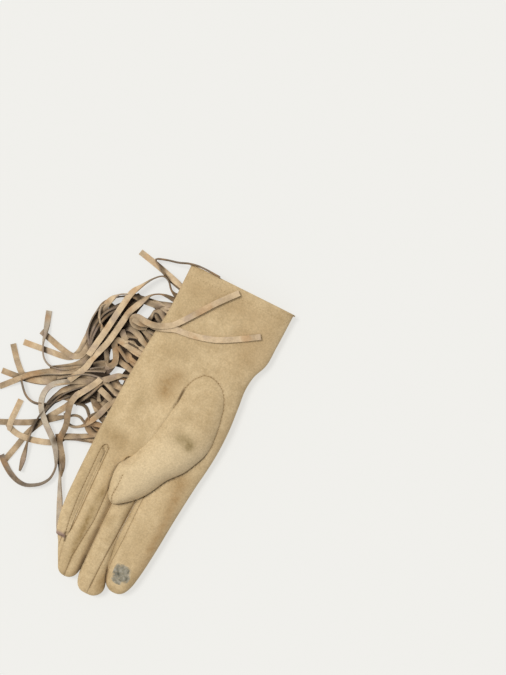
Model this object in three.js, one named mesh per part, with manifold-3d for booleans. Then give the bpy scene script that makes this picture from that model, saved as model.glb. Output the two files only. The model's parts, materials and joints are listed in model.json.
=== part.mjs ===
// Left glove of soft faux suede, lying on its back with the thumb folded over the palm,
// with long cut fringe strips sewn into the side seam below the little finger.
// Millimetres, +X toward the thumb side, +Y toward the cuff, +Z up from the surface it lies on.
import * as THREE from 'three';
import Module from 'manifold-3d';

const wasm = await Module();
wasm.setup();
const { CrossSection, Manifold, Mesh } = wasm;

// Driving sizes
const GLOVE_LENGTH = 248;
const MIDDLE = GLOVE_LENGTH / 2;   // the origin lies this far up from the middle fingertip
const WALL = 1.5;                  // suede with its bonded backing
const GAP = 0.3;                   // clearance between sewn pieces
const SEAM_HEIGHT = 5.5;           // the side seams run this high above the surface
const BELLY = 1.6;                 // how far the round underside is pressed flat by its weight
const ROUNDNESS = 0.78;            // exponent of the oval sections, 1 is a plain ellipse
const CROTCH = 101;                // the fingers part here, measured up from the middle fingertip
const HEM = { depth: 6.4, wall: 1.2, set_back: 0.3 };
const STRIP = { width: 4.3, thick: 1.0, step: 8.5 };
const CRUMB = 0.03;                // slivers thinner than this are closed up
const TAPE = { from: 97, to: 234, thick: 1.0, inside: 1.6, outside: 1.2 };

// Palm and wrist, a row for each section up from the middle fingertip
const BODY = [
  { up: GLOVE_LENGTH, left: -41.0, right: 42.0, low: 0, high: 13.5 },
  { up: 238, left: -41.0, right: 41.8, low: 0, high: 12.8 },
  { up: 222, left: -41.0, right: 41.3, low: 0, high: 12.6 },
  { up: 205, left: -41.6, right: 40.2, low: 0, high: 12.8 },
  { up: 195, left: -43.0, right: 36.2, low: 0, high: 13.4 },
  { up: 184, left: -44.0, right: 34.8, low: 0, high: 14.2 },
  { up: 170, left: -45.2, right: 36.0, low: 0, high: 15.2 },
  { up: 150, left: -46.4, right: 37.5, low: 0, high: 16.0 },
  { up: 130, left: -47.3, right: 37.1, low: 0, high: 15.4 },
  { up: 115, left: -47.8, right: 35.5, low: 0, high: 14.0 },
  { up: 106, left: -48.0, right: 34.2, low: 0, high: 12.9 },
  { up: CROTCH, left: -48.0, right: 33.6, low: 0, high: 12.2 },
];

// The four fingers lie side by side, each a tube that narrows to a round tip
const FINGERS = {
  little: [
    { up: 112, left: -47.0, right: -37.4, low: 0, high: 11.6 },
    { up: 97, left: -48.0, right: -36.9, low: 0, high: 11.4 },
    { up: 75, left: -47.9, right: -36.3, low: 0, high: 11.2 },
    { up: 55, left: -46.9, right: -35.6, low: 0, high: 11.0 },
    { up: 44, left: -45.0, right: -34.9, low: 0, high: 10.8 },
    { up: 37, left: -42.8, right: -34.5, low: 0.2, high: 10.2 },
    { up: 33, left: -41.3, right: -34.9, low: 0.9, high: 9.4 },
    { up: 31.2, left: -40.1, right: -35.6, low: 2.0, high: 8.2 },
  ],
  ring: [
    { up: 112, left: -35.6, right: -17.0, low: 0, high: 12.0 },
    { up: 97, left: -36.4, right: -16.2, low: 0, high: 11.6 },
    { up: 75, left: -35.8, right: -15.9, low: 0, high: 11.2 },
    { up: 55, left: -35.1, right: -15.8, low: 0, high: 11.0 },
    { up: 44, left: -34.4, right: -15.7, low: 0, high: 10.9 },
    { up: 33, left: -34.0, right: -15.6, low: 0, high: 10.7 },
    { up: 28, left: -37.6, right: -15.5, low: 0, high: 10.5 },
    { up: 25, left: -38.6, right: -15.4, low: 0, high: 10.3 },
    { up: 17, left: -34.6, right: -15.3, low: 0, high: 9.8 },
    { up: 10.5, left: -31.4, right: -15.6, low: 0.3, high: 9.2 },
    { up: 7, left: -29.2, right: -17.2, low: 1.0, high: 8.4 },
    { up: 5, left: -26.4, right: -20.2, low: 2.2, high: 7.4 },
  ],
  middle: [
    { up: 112, left: -15.2, right: -0.8, low: 0, high: 12.0 },
    { up: 97, left: -15.6, right: 0.0, low: 0, high: 11.9 },
    { up: 75, left: -15.3, right: 0.7, low: 0, high: 11.7 },
    { up: 50, left: -15.2, right: 0.7, low: 0, high: 11.5 },
    { up: 35, left: -15.0, right: 1.1, low: 0, high: 11.2 },
    { up: 25, left: -14.9, right: 2.2, low: 0, high: 10.8 },
    { up: 15, left: -14.6, right: 4.4, low: 0, high: 10.2 },
    { up: 9, left: -13.7, right: 7.0, low: 0.2, high: 9.6 },
    { up: 5, left: -12.2, right: 6.2, low: 0.7, high: 8.8 },
    { up: 2.2, left: -9.6, right: 3.6, low: 1.5, high: 8.0 },
    { up: 0.5, left: -6.4, right: 0.2, low: 2.6, high: 7.2 },
  ],
  index: [
    { up: 112, left: 1.6, right: 33.6, low: 0, high: 12.2 },
    { up: 97, left: 0.6, right: 33.2, low: 0, high: 12.0 },
    { up: 75, left: 1.3, right: 31.0, low: 0, high: 11.8 },
    { up: 50, left: 1.3, right: 29.0, low: 0, high: 11.7 },
    { up: 35, left: 1.8, right: 27.5, low: 0, high: 11.5 },
    { up: 25, left: 3.0, right: 26.2, low: 0, high: 11.2 },
    { up: 18, left: 4.6, right: 24.6, low: 0, high: 10.6 },
    { up: 14, left: 6.6, right: 22.6, low: 0.3, high: 9.8 },
    { up: 11.4, left: 9.0, right: 19.6, low: 1.1, high: 8.8 },
    { up: 9.8, left: 11.6, right: 16.2, low: 2.3, high: 7.6 },
  ],
};

// The thumb rises out of the palm and lies over it with its tip on the fingers
const THUMB = [
  { up: 180.5, left: 3.5, right: 11.5, low: 9.0, high: 15.6 },
  { up: 176, left: -1.5, right: 20.5, low: 8.0, high: 16.8 },
  { up: 168, left: -4.5, right: 26.0, low: 7.0, high: 18.4 },
  { up: 155, left: -6.2, right: 29.2, low: 7.0, high: 20.8 },
  { up: 142, left: -7.6, right: 30.8, low: 8.6, high: 23.0 },
  { up: 130, left: -9.4, right: 30.4, low: 11.4, high: 24.6 },
  { up: 120, left: -11.6, right: 26.6, low: 14.6, high: 25.2 },
  { up: 110, left: -15.4, right: 22.0, low: 14.6, high: 25.4 },
  { up: 101, left: -19.8, right: 14.4, low: 13.6, high: 25.0 },
  { up: 94, left: -23.4, right: 10.0, low: 13.0, high: 24.2 },
  { up: 85, left: -23.4, right: 5.6, low: 12.8, high: 23.0 },
  { up: 77, left: -21.8, right: -1.2, low: 12.9, high: 21.6 },
  { up: 71.5, left: -19.6, right: -8.2, low: 13.4, high: 20.2 },
  { up: 68.6, left: -16.8, right: -11.8, low: 14.4, high: 19.0 },
];
const THUMB_SEAM = 16.4;  // height of the fold along both sides of the thumb

// Side strips between the fingers, bounded by their seams with the palm panel
const FOURCHETTES = {
  fourchette_little: [
    { up: 103.5, left: -39.8, right: -35.4 },
    { up: 97, left: -40.2, right: -34.4 },
    { up: 60, left: -39.2, right: -33.2 },
    { up: 36.5, left: -37.4, right: -32.0 },
  ],
  fourchette_ring: [
    { up: 103.5, left: -20.6, right: -13.6 },
    { up: 73, left: -22.0, right: -13.4 },
    { up: 50, left: -21.2, right: -13.3 },
    { up: 20, left: -24.0, right: -13.0 },
    { up: 12, left: -24.0, right: -13.0 },
  ],
  fourchette_middle: [
    { up: 103.5, left: -2.4, right: 3.2 },
    { up: 75, left: -1.6, right: 3.4 },
    { up: 48, left: -1.7, right: 4.4 },
    { up: 30, left: -2.5, right: 5.0 },
    { up: 18, left: -2.5, right: 7.4 },
  ],
};
const FOURCHETTE_FOOT = 3.2;  // the strips meet the back panel at this height

// Grey conductive patch on the index fingertip
const PAD = { x: 13.3, up: 24, wide: 14, long: 16, thick: 0.6, corners: 14, wobble: 0.09 };

// Fringe strips in the order of their roots from the cuff down. Each place is
// [x, up, z, twist]: z is the height of the strip's middle, twist 0 lies flat, 90 stands on edge.
const STRIPS = [
  { name: 'cuff_flat', way: [[-41, 230.5, 5.5, 0], [-52, 233.5, 3.2, 0], [-66, 237, 1.2, 0],
    [-79, 239.5, 0.8, 0]] },
  { name: 'cuff_edge', way: [[-41, 227, 5.5, 0], [-52, 231.5, 3.5, 20], [-62, 237, 4.2, 80],
    [-65, 240.5, 4.6, 80], [-54, 243.6, 5.6, 80], [-43, 247.6, 8.4, 80], [-36, 248.4, 13.2, 80],
    [-29, 248.8, 15, 80], [-18, 248.2, 16.2, 80]] },
  { name: 'long_outer', way: [[-41, 223, 5.5, 0], [-47, 225, 4.5, 70], [-52, 230.5, 4.5, 80],
    [-57, 231.3, 5, 60], [-63, 224.5, 6, 70], [-68.5, 214, 7, 50], [-71.5, 204, 7.5, 0],
    [-74, 188, 7.8, 0], [-77, 171, 7.5, 0], [-79, 158, 6.5, 0], [-80, 150, 4, 0]] },
  { name: 'long_inner', way: [[-41, 219.6, 5.5, 0], [-50, 219.3, 4.5, 80], [-57, 215.3, 5, 80],
    [-61, 208.5, 6, 10], [-66, 196, 7, 0], [-69.5, 180, 7.5, 0], [-73, 166, 7.3, 0],
    [-75.7, 157, 6.6, 0], [-78, 149, 5.5, 0], [-81.5, 141, 4.5, 0], [-86, 132, 3.5, 0],
    [-93, 124, 1.5, 0]] },
  { name: 'outer_bow', way: [[-41, 214, 5.5, 0], [-50, 211, 4, 0], [-62, 210, 2.6, 0],
    [-73, 208, 2.6, 40], [-80, 203, 2.8, 80], [-86.5, 195, 2.8, 80], [-88.5, 184, 2.8, 80],
    [-87, 174, 2.8, 80], [-80, 162, 2.5, 70]] },
  { name: 'side_low', way: [[-41.2, 209, 5.5, 0], [-52, 208, 4, 0], [-64, 206, 2, 0],
    [-74, 198, 1.2, 0], [-81, 188, 2.6, 60], [-84, 176, 1.2, 10], [-84.5, 160, 0.8, 0],
    [-87, 149.5, 0.8, 0], [-94, 146, 0.8, 0], [-108, 145, 0.8, 0], [-126, 142.7, 0.8, 0]] },
  { name: 'side_high', way: [[-41.6, 204, 5.5, 0], [-47, 206, 6.5, 30], [-50, 201, 5, 60],
    [-58, 185, 3.2, 0], [-69, 186, 2.4, 0], [-78, 179, 2.4, 0], [-82, 168, 2, 0],
    [-82.5, 155, 2.2, 0], [-87, 149, 2.2, 0], [-97, 150, 1.2, 0], [-118, 155.5, 0.8, 0]] },
  { name: 'over_cuff_long', way: [[-43.4, 192, 5.5, 0], [-50, 190, 6, 0], [-57, 188.7, 6.5, 20],
    [-62.3, 193, 9, 40], [-58.5, 197.8, 12.5, 30], [-49, 197.5, 15, 0], [-38, 199, 15.4, 0],
    [-28, 205.5, 15.2, 0], [-18, 216, 14.8, 0], [-9, 229.5, 14.7, 0], [0, 244, 15, 0]] },
  { name: 'over_cuff_low', way: [[-43.7, 188, 5.5, 0], [-50, 187, 4.6, 0], [-57, 188, 4.8, 0],
    [-62, 193, 6.5, 30], [-59, 199.5, 10, 30], [-50, 200, 13.8, 0], [-40, 197.5, 14.6, 0],
    [-28, 200.3, 14.8, 0], [-10, 203.8, 15, 0], [5, 209, 14.8, 0], [15, 214.5, 14.6, 0],
    [28, 223, 14.4, 0]] },
  { name: 'tuck_first', way: [[-44.1, 183, 5.5, 0], [-52, 186, 4.4, 0], [-59, 184.5, 3.6, 10],
    [-66, 181, 3, 0], [-68, 172, 2.4, 0], [-66.5, 161, 1.8, 0], [-63.5, 153, 1.8, 0]] },
  { name: 'tuck_second', way: [[-44.6, 177, 5.5, 0], [-54, 176.5, 4.6, 0], [-63, 181, 4, 10],
    [-67, 176, 4, 30], [-61, 166, 3.6, 0], [-57.5, 158, 3.2, 0], [-60.5, 151, 2.4, 0],
    [-69, 146, 2.2, 0]] },
  { name: 'tuck_third', way: [[-45.1, 171, 5.5, 0], [-54, 171.5, 3.4, 0], [-64, 174.5, 1.6, 0],
    [-71, 166, 1, 0], [-72, 156, 0.8, 0]] },
  { name: 'outlier_up', way: [[-45.6, 165, 5.5, 0], [-54, 167, 3, 0], [-64, 164, 1, 0],
    [-73, 155, 1, 0], [-82, 144, 2.4, 30], [-91, 137.5, 2.6, 80], [-99, 136, 2.6, 80],
    [-107, 139.5, 2.6, 80], [-112, 150, 2.6, 50], [-115.5, 161, 1, 0], [-118.7, 171, 0.8, 0]] },
  { name: 'bundle_first', way: [[-46, 159, 5.5, 0], [-55, 158.5, 4, 0], [-66, 152, 3.4, 0],
    [-77, 146, 3.6, 0], [-90, 138, 3.4, 20], [-101, 131.5, 2.8, 40], [-111, 124.5, 2.8, 50],
    [-118, 116, 2.6, 20], [-127.5, 106, 0.8, 0]] },
  { name: 'down_to_finger', way: [[-46.3, 153, 5.5, 0], [-53, 151, 5.6, 0], [-60, 143.5, 6, 0],
    [-67, 133, 6, 0], [-73, 123, 5.6, 0], [-74.6, 115, 5, 0], [-71.5, 105, 4.4, 0],
    [-70.5, 96, 4.2, 10], [-68.5, 88, 3.6, 40], [-61, 80.5, 2.8, 60], [-57.5, 73, 2.4, 70],
    [-56.5, 67, 2.2, 40], [-52, 57, 1.4, 10], [-48.8, 46.5, 1, 0], [-44.6, 34, 0.8, 0]] },
  { name: 'bundle_second', way: [[-46.7, 147, 5.5, 0], [-55, 146, 4.6, 0], [-64, 143, 4, 0],
    [-77, 139, 3.6, 0], [-90, 131.5, 2.8, 0], [-103, 124.5, 2, 0], [-114, 120.5, 1.4, 0],
    [-123, 127, 1, 0], [-132, 137.5, 0.8, 0]] },
  { name: 'bundle_third', way: [[-47, 141, 5.5, 0], [-56, 138.5, 3.6, 0], [-67, 136, 2.8, 0],
    [-79, 134, 2.4, 0], [-91, 127, 2, 0], [-104, 121.5, 1.6, 0], [-118, 118.5, 0.8, 0],
    [-131, 117, 0.8, 0]] },
  { name: 'edge_arc', way: [[-47.1, 136, 5.5, 0], [-56, 133, 3.4, 0], [-66, 129, 2.6, 40],
    [-78, 121, 2.6, 70], [-88, 110, 2.6, 80], [-100, 107.3, 2.6, 80], [-108, 110.5, 2.6, 80],
    [-115.5, 118.5, 2.6, 80]] },
  { name: 'short_hook', way: [[-47.3, 131, 5.5, 0], [-50.5, 125, 5.6, 60], [-53.5, 117.5, 4.6, 40],
    [-58, 109.5, 3.4, 60], [-62, 105, 2.8, 80], [-67, 103.3, 2.6, 80], [-72, 104.5, 2.6, 80]] },
  { name: 'cross_down', way: [[-47.5, 126, 5.5, 0], [-56, 121, 3, 0], [-66, 120.5, 2.6, 60],
    [-75, 117.5, 1.4, 0], [-83, 105, 0.9, 0], [-89.5, 94, 0.9, 0], [-94, 83, 0.9, 0],
    [-97, 70, 0.8, 0], [-100, 59, 0.8, 0]] },
  { name: 'edge_down', way: [[-47.7, 119, 5.5, 0], [-55, 115, 3, 40], [-61, 117, 2.6, 80],
    [-67, 121, 2.6, 80], [-76, 119, 2.6, 80], [-85, 112, 2.6, 80], [-91.5, 102, 2.8, 80],
    [-92.3, 90, 2.8, 60], [-91, 76, 2.4, 60], [-88.8, 66, 2, 40], [-86.5, 57, 1.4, 30]] },
  { name: 'small_loop', way: [[-47.8, 113, 5.5, 0], [-55, 109.5, 3.4, 40], [-60.5, 110.5, 2.6, 80],
    [-66, 112, 2.6, 80], [-72, 109.5, 2.6, 80], [-80, 104, 2.6, 60], [-88, 97, 1.8, 0],
    [-96, 92, 1.6, 0], [-106, 87, 1.2, 0], [-117, 82, 0.8, 0]] },
  { name: 'light_loop', way: [[-47.9, 108.5, 5.5, 0], [-54, 103.5, 5.4, 30], [-65, 97, 4.8, 20],
    [-75.5, 92, 4.2, 0], [-85.5, 97, 3.6, 0], [-92.5, 105.5, 3.2, 0], [-95.5, 114, 3, 0],
    [-93, 122, 3.4, 10], [-86, 128, 3.6, 0], [-78, 133, 3.4, 0]] },
  { name: 'square_turn', way: [[-48, 104.5, 5.5, 0], [-55, 106.5, 4, 20], [-62, 104.5, 3, 60],
    [-68, 99, 2.6, 60], [-72, 91, 2, 0], [-79, 84.5, 1.6, 0], [-89, 81.5, 1.8, 0],
    [-99, 81, 2.2, 0], [-107.5, 84, 2.4, 0], [-108.2, 91, 2, 0], [-108, 104, 1, 0]] },
  { name: 'big_loop', way: [[-48, 100.5, 5.5, 0], [-57, 98.5, 3.6, 30], [-66, 94.5, 2.4, 0],
    [-70, 88, 1.6, 0], [-66.5, 80, 2, 40], [-63, 71, 2.4, 80], [-64, 60, 2.4, 80],
    [-71.5, 52.5, 2.4, 80], [-82, 49.5, 2.2, 60], [-92, 53, 1.6, 40], [-104, 61.5, 1, 30]] },
];

// Tables
// Reads a table at any height by straight lines between its rows
function row_at(table, up) {
  const rows = [...table].sort((a, b) => a.up - b.up);
  if (up <= rows[0].up) return { ...rows[0], up };
  for (let i = 1; i < rows.length; i += 1) {
    if (up > rows[i].up) continue;
    const share = (up - rows[i - 1].up) / (rows[i].up - rows[i - 1].up);
    const mixed = { up };
    for (const key of Object.keys(rows[i])) {
      if (key !== 'up') mixed[key] = rows[i - 1][key] + share * (rows[i][key] - rows[i - 1][key]);
    }
    return mixed;
  }
  return { ...rows[rows.length - 1], up };
}

// Solids
function to_solid(points, faces) {
  const solid = new Manifold(new Mesh({
    numProp: 3,
    vertProperties: new Float32Array(points.flat()),
    triVerts: new Uint32Array(faces.flat()),
  }));
  if (solid.volume() > 0) return solid;
  return new Manifold(new Mesh({
    numProp: 3,
    vertProperties: new Float32Array(points.flat()),
    triVerts: new Uint32Array(faces.map(([a, b, c]) => [a, c, b]).flat()),
  }));
}

// Cutting one form by another can leave crumbs, so only the largest body stays
function main_body(solid) {
  const bodies = solid.simplify(CRUMB).decompose();
  return bodies.reduce((best, body) => (body.volume() > best.volume() ? body : best));
}

// One oval section, moved inward by inset, flat where it rests
function oval(row, inset, count, seam, belly) {
  const half = (row.right - row.left) / 2 - inset;
  const mid = (row.right + row.left) / 2;
  const above = row.high - seam - inset;
  const below = seam - row.low + belly - inset;
  const points = [];
  for (let i = 0; i < count; i += 1) {
    const angle = (i / count) * 2 * Math.PI;
    const c = Math.cos(angle);
    const s = Math.sin(angle);
    const bow = Math.abs(s) ** ROUNDNESS;
    const z = s >= 0 ? seam + above * bow : Math.max(seam - below * bow, row.low + inset);
    points.push([mid + half * Math.sign(c) * Math.abs(c) ** ROUNDNESS, row.up - MIDDLE, z]);
  }
  return points;
}

// A closed tube through the sections. The last row is its tip, which moves inward too,
// and open says that the first end goes straight through instead.
function tube(table, inset, { count = 20, seam = SEAM_HEIGHT, belly = BELLY, open = false } = {}) {
  const last = table.length - 1;
  const rings = table.map((row, i) => {
    const shift = i === last ? inset : 0;
    const start = i === 0 ? (open ? 2 : -inset) : 0;
    return oval({ ...row, up: row.up + shift + start }, inset, count, seam, belly);
  });
  const points = rings.flat();
  const faces = [];
  for (let r = 0; r < rings.length - 1; r += 1) {
    for (let i = 0; i < count; i += 1) {
      const a = r * count + i;
      const b = r * count + ((i + 1) % count);
      faces.push([a, b, b + count], [a, b + count, a + count]);
    }
  }
  for (const [start, flip] of [[0, true], [last * count, false]]) {
    for (let i = 1; i < count - 1; i += 1) {
      faces.push(flip ? [start, start + i + 1, start + i] : [start, start + i, start + i + 1]);
    }
  }
  return to_solid(points, faces);
}

// A flat outline in x and up, raised from one height to another
function prism(outline, low, high) {
  const face = new CrossSection([outline.map(([x, up]) => [x, up - MIDDLE])], 'NonZero');
  return face.extrude(high - low).translate([0, 0, low]);
}

function block(low, high) {
  return prism([[-300, -60], [300, -60], [300, 400], [-300, 400]], low, high);
}

// The outer skin of palm and fingers as one form, moved inward by inset
function hand_form(inset, open) {
  const fingers = Object.values(FINGERS).map((rows) => tube(rows, inset, { count: 14 }));
  return fingers.reduce((sum, finger) => sum.add(finger), tube(BODY, inset, { count: 24, open }));
}

// Panels
const outer = hand_form(0, false);
const inner = hand_form(WALL, true);
const skin = outer.subtract(inner);

function fourchette_outline(rows, grow) {
  const last = rows.length - 1;
  const up = (row, i) => row.up + (i === 0 ? grow : 0) - (i === last ? grow : 0);
  const left = rows.map((row, i) => [row.left - grow, up(row, i)]);
  const right = rows.map((row, i) => [row.right + grow, up(row, i)]);
  return [...left.reverse(), ...right];
}

const side_strips = {};
let between_fingers = null;
for (const [name, rows] of Object.entries(FOURCHETTES)) {
  side_strips[name] = skin.intersect(prism(fourchette_outline(rows, 0), FOURCHETTE_FOOT, 40));
  const room = prism(fourchette_outline(rows, GAP), FOURCHETTE_FOOT - GAP, 40);
  between_fingers = between_fingers ? between_fingers.add(room) : room;
}

// Backing tape of the fringe, caught between the panels in the side seam
function tape_form(grow) {
  const ups = [];
  for (let up = TAPE.from - grow; up < TAPE.to + grow; up += 12) ups.push(up);
  ups.push(TAPE.to + grow);
  const inside = ups.map((up) => [row_at(BODY, up).left + TAPE.inside + grow, up]);
  const outside = ups.map((up) => [row_at(BODY, up).left - TAPE.outside - grow, up]);
  const half = TAPE.thick / 2 + grow;
  return prism([...inside, ...outside.reverse()], SEAM_HEIGHT - half, SEAM_HEIGHT + half);
}

const tape = tape_form(0);
const tape_room = tape_form(GAP);

const thumb_options = { count: 18, seam: THUMB_SEAM, belly: 1.0 };
const thumb_outer = tube(THUMB, 0, thumb_options);
const thumb_inner = tube(THUMB, WALL, thumb_options);

const palm_panel = skin
  .intersect(block(SEAM_HEIGHT + GAP / 2, 60))
  .subtract(between_fingers)
  .subtract(tape_room)
  .subtract(thumb_inner);

const back_panel = skin
  .intersect(block(-5, SEAM_HEIGHT - GAP / 2))
  .subtract(between_fingers)
  .subtract(tape_room);

const thumb = thumb_outer
  .subtract(thumb_inner)
  .subtract(hand_form(-GAP, false));

// Turned hem, a second layer inside the cuff's edge
function hem_form() {
  const from = WALL + GAP;
  const top = GLOVE_LENGTH - HEM.set_back;
  const ring = tube(BODY, from, { count: 24, open: true })
    .subtract(tube(BODY, from + HEM.wall, { count: 24, open: true }));
  return ring.intersect(prism(
    [[-80, top - HEM.depth], [80, top - HEM.depth], [80, top], [-80, top]], -5, 60,
  ));
}

// Touch patch, a thin skin on the palm side of the index fingertip
function pad_form() {
  const outline = [];
  for (let i = 0; i < PAD.corners; i += 1) {
    const angle = (i / PAD.corners) * 2 * Math.PI;
    const reach = 1 + PAD.wobble * Math.cos(3 * angle) + PAD.wobble * Math.sin(5 * angle);
    outline.push([
      PAD.x + (PAD.wide / 2) * reach * Math.cos(angle),
      PAD.up + (PAD.long / 2) * reach * Math.sin(angle),
    ]);
  }
  return tube(FINGERS.index, -GAP - PAD.thick, { count: 14 })
    .subtract(tube(FINGERS.index, -GAP, { count: 14 }))
    .intersect(prism(outline, SEAM_HEIGHT + 1, 60));
}

// Fringe
// Evenly spaced places on a smooth line through the named ones
function along(way) {
  const dense = [];
  for (let i = 0; i < way.length - 1; i += 1) {
    const [a, b] = [way[Math.max(i - 1, 0)], way[i]];
    const [c, d] = [way[i + 1], way[Math.min(i + 2, way.length - 1)]];
    for (let k = 0; k < 8; k += 1) {
      const t = k / 8;
      dense.push(b.map((_, j) => 0.5 * (2 * b[j] + (c[j] - a[j]) * t
        + (2 * a[j] - 5 * b[j] + 4 * c[j] - d[j]) * t * t
        + (3 * b[j] - a[j] - 3 * c[j] + d[j]) * t * t * t)));
    }
  }
  dense.push(way[way.length - 1]);
  const walked = [0];
  for (let i = 1; i < dense.length; i += 1) {
    const [p, q] = [dense[i - 1], dense[i]];
    walked.push(walked[i - 1] + Math.hypot(q[0] - p[0], q[1] - p[1], q[2] - p[2]));
  }
  const total = walked[walked.length - 1];
  const steps = Math.max(3, Math.round(total / STRIP.step));
  const places = [];
  for (let s = 0; s <= steps; s += 1) {
    const want = (s / steps) * total;
    let i = 1;
    while (i < dense.length - 1 && walked[i] < want) i += 1;
    const share = (want - walked[i - 1]) / (walked[i] - walked[i - 1]);
    places.push(dense[i].map((value, j) => dense[i - 1][j] + share * (value - dense[i - 1][j])));
  }
  return places;
}

// The four corners of a strip's cut at one place, kept above the surface
function strip_corners(places, i) {
  const [x, up, z, twist] = places[i];
  const before = places[Math.max(i - 1, 0)];
  const after = places[Math.min(i + 1, places.length - 1)];
  const ahead = new THREE.Vector3(after[0] - before[0], after[1] - before[1], after[2] - before[2]);
  ahead.normalize();
  const flat = new THREE.Vector3(-ahead.y, ahead.x, 0).normalize();
  const rise = new THREE.Vector3().crossVectors(ahead, flat);
  const turn = THREE.MathUtils.degToRad(twist);
  const across = flat.clone().multiplyScalar(Math.cos(turn)).addScaledVector(rise, Math.sin(turn));
  const through = rise.clone().multiplyScalar(Math.cos(turn)).addScaledVector(flat, -Math.sin(turn));
  return [[1, 1], [1, -1], [-1, -1], [-1, 1]].map(([a, b]) => {
    const corner = new THREE.Vector3(x, up - MIDDLE, z)
      .addScaledVector(across, (a * STRIP.width) / 2)
      .addScaledVector(through, (b * STRIP.thick) / 2);
    return [corner.x, corner.y, Math.max(corner.z, 0)];
  });
}

function strip_form(way) {
  const [[x, up, z, twist]] = way;
  const root = [[x + 0.8, up, z, twist], [x - 0.7, up, z, twist]];
  const places = [root[0], ...along([root[1], ...way.slice(1)])];
  const points = places.flatMap((_, i) => strip_corners(places, i));
  const last = (places.length - 1) * 4;
  const faces = [[0, 1, 2], [0, 2, 3], [last, last + 2, last + 1], [last, last + 3, last + 2]];
  for (let r = 0; r < last; r += 4) {
    for (let k = 0; k < 4; k += 1) {
      const a = r + k;
      const b = r + ((k + 1) % 4);
      faces.push([a, b + 4, b], [a, a + 4, b + 4]);
    }
  }
  return to_solid(points, faces);
}

// Every strip stays clear of the hand, and the tape holds their roots in the seam
const fringe = STRIPS.map((strip) => strip_form(strip.way))
  .reduce((sum, strip) => sum.add(strip))
  .subtract(hand_form(-GAP, false))
  .add(tape);

// Group of named meshes
function part_mesh(name, solid, { colour, roughness }) {
  const { vertProperties, triVerts } = main_body(solid).getMesh();
  const geometry = new THREE.BufferGeometry();
  geometry.setAttribute('position', new THREE.BufferAttribute(new Float32Array(vertProperties), 3));
  geometry.setIndex([...triVerts]);
  geometry.computeVertexNormals();
  const material = new THREE.MeshStandardMaterial({ color: colour, roughness, metalness: 0 });
  const mesh = new THREE.Mesh(geometry, material);
  mesh.name = name;
  return mesh;
}

const SUEDE = { colour: '#c6ab7f', roughness: 0.95 };
const STRIP_SUEDE = { colour: '#c2a47b', roughness: 0.95 };
const CONDUCTIVE = { colour: '#989489', roughness: 0.8 };

const group = new THREE.Group();
group.name = 'fringed_glove';
group.add(part_mesh('palm_panel', palm_panel, SUEDE));
group.add(part_mesh('back_panel', back_panel, SUEDE));
for (const [name, solid] of Object.entries(side_strips)) group.add(part_mesh(name, solid, SUEDE));
group.add(part_mesh('thumb', thumb, SUEDE));
group.add(part_mesh('cuff_hem', hem_form(), SUEDE));
group.add(part_mesh('touch_pad', pad_form(), CONDUCTIVE));
group.add(part_mesh('fringe', fringe, STRIP_SUEDE));

export default group;
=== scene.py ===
"""Fringed suede glove, left hand, lying on its back with the thumb folded over the palm.

Tables are in millimetres, x toward the thumb side and up from the middle fingertip to the cuff.
The object stands in the frame's own metres, with the cuff toward +Y and the palm toward +Z.
"""

import json
import math

import bpy
from mathutils import Matrix, Vector, kdtree, noise

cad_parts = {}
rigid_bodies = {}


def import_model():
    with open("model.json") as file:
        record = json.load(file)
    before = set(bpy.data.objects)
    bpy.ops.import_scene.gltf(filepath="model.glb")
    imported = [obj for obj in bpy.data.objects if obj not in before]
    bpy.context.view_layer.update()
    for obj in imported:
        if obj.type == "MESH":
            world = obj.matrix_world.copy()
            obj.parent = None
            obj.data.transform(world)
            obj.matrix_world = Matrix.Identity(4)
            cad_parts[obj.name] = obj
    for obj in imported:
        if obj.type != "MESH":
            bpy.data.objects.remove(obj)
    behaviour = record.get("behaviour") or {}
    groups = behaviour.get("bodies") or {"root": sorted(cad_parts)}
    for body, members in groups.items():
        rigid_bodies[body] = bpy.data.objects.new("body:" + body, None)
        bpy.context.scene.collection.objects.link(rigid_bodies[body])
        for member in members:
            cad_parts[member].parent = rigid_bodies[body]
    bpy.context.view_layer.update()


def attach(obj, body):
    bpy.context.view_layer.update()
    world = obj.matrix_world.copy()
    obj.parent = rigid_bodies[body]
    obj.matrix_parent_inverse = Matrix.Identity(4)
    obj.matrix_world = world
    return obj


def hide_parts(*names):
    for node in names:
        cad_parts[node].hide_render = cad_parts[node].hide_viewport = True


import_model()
bpy.ops.object.select_all(action="DESELECT")

# Palm panel
# The palm side of hand, wrist and four fingers, cut in one piece from camel faux suede with a soft
# bonded backing. It is sewn to the back panel round the outside and to the side strips between the
# fingers, and an oval opening takes the thumb piece.
MM = 0.001
MIDDLE = 124.0        # the frame's origin is halfway between fingertip and cuff
SEAM_HEIGHT = 5.5     # of the side seam above the table
SEAM_GAP = 0.15       # each panel ends this far from it
BELLY = 1.6           # how far the back would sag below the table if that didn't hold it
ROUNDNESS = 0.78      # of every section: 1 is an ellipse, and less is boxier
CROTCH = 101.0        # how far up the fingers meet
VALLEY_DEPTH = 7
WALL = 1.3
FACE_SIZE = 0.95

# Palm, wrist and cuff: up, left, right, low, high
BODY = [
    (248, -41.0, 42.0, 0, 13.5),
    (238, -41.0, 41.8, 0, 12.8),
    (222, -41.0, 41.3, 0, 12.6),
    (205, -41.6, 40.2, 0, 12.8),
    (195, -43.0, 36.2, 0, 13.4),
    (184, -44.0, 34.8, 0, 14.2),
    (170, -45.2, 36.0, 0, 15.2),
    (150, -46.4, 37.5, 0, 16.0),
    (130, -47.3, 37.1, 0, 15.4),
    (115, -47.8, 35.5, 0, 14.0),
    (106, -48.0, 34.2, 0, 12.9),
    (CROTCH, -48.0, 33.6, 0, 12.2),
]
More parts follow.
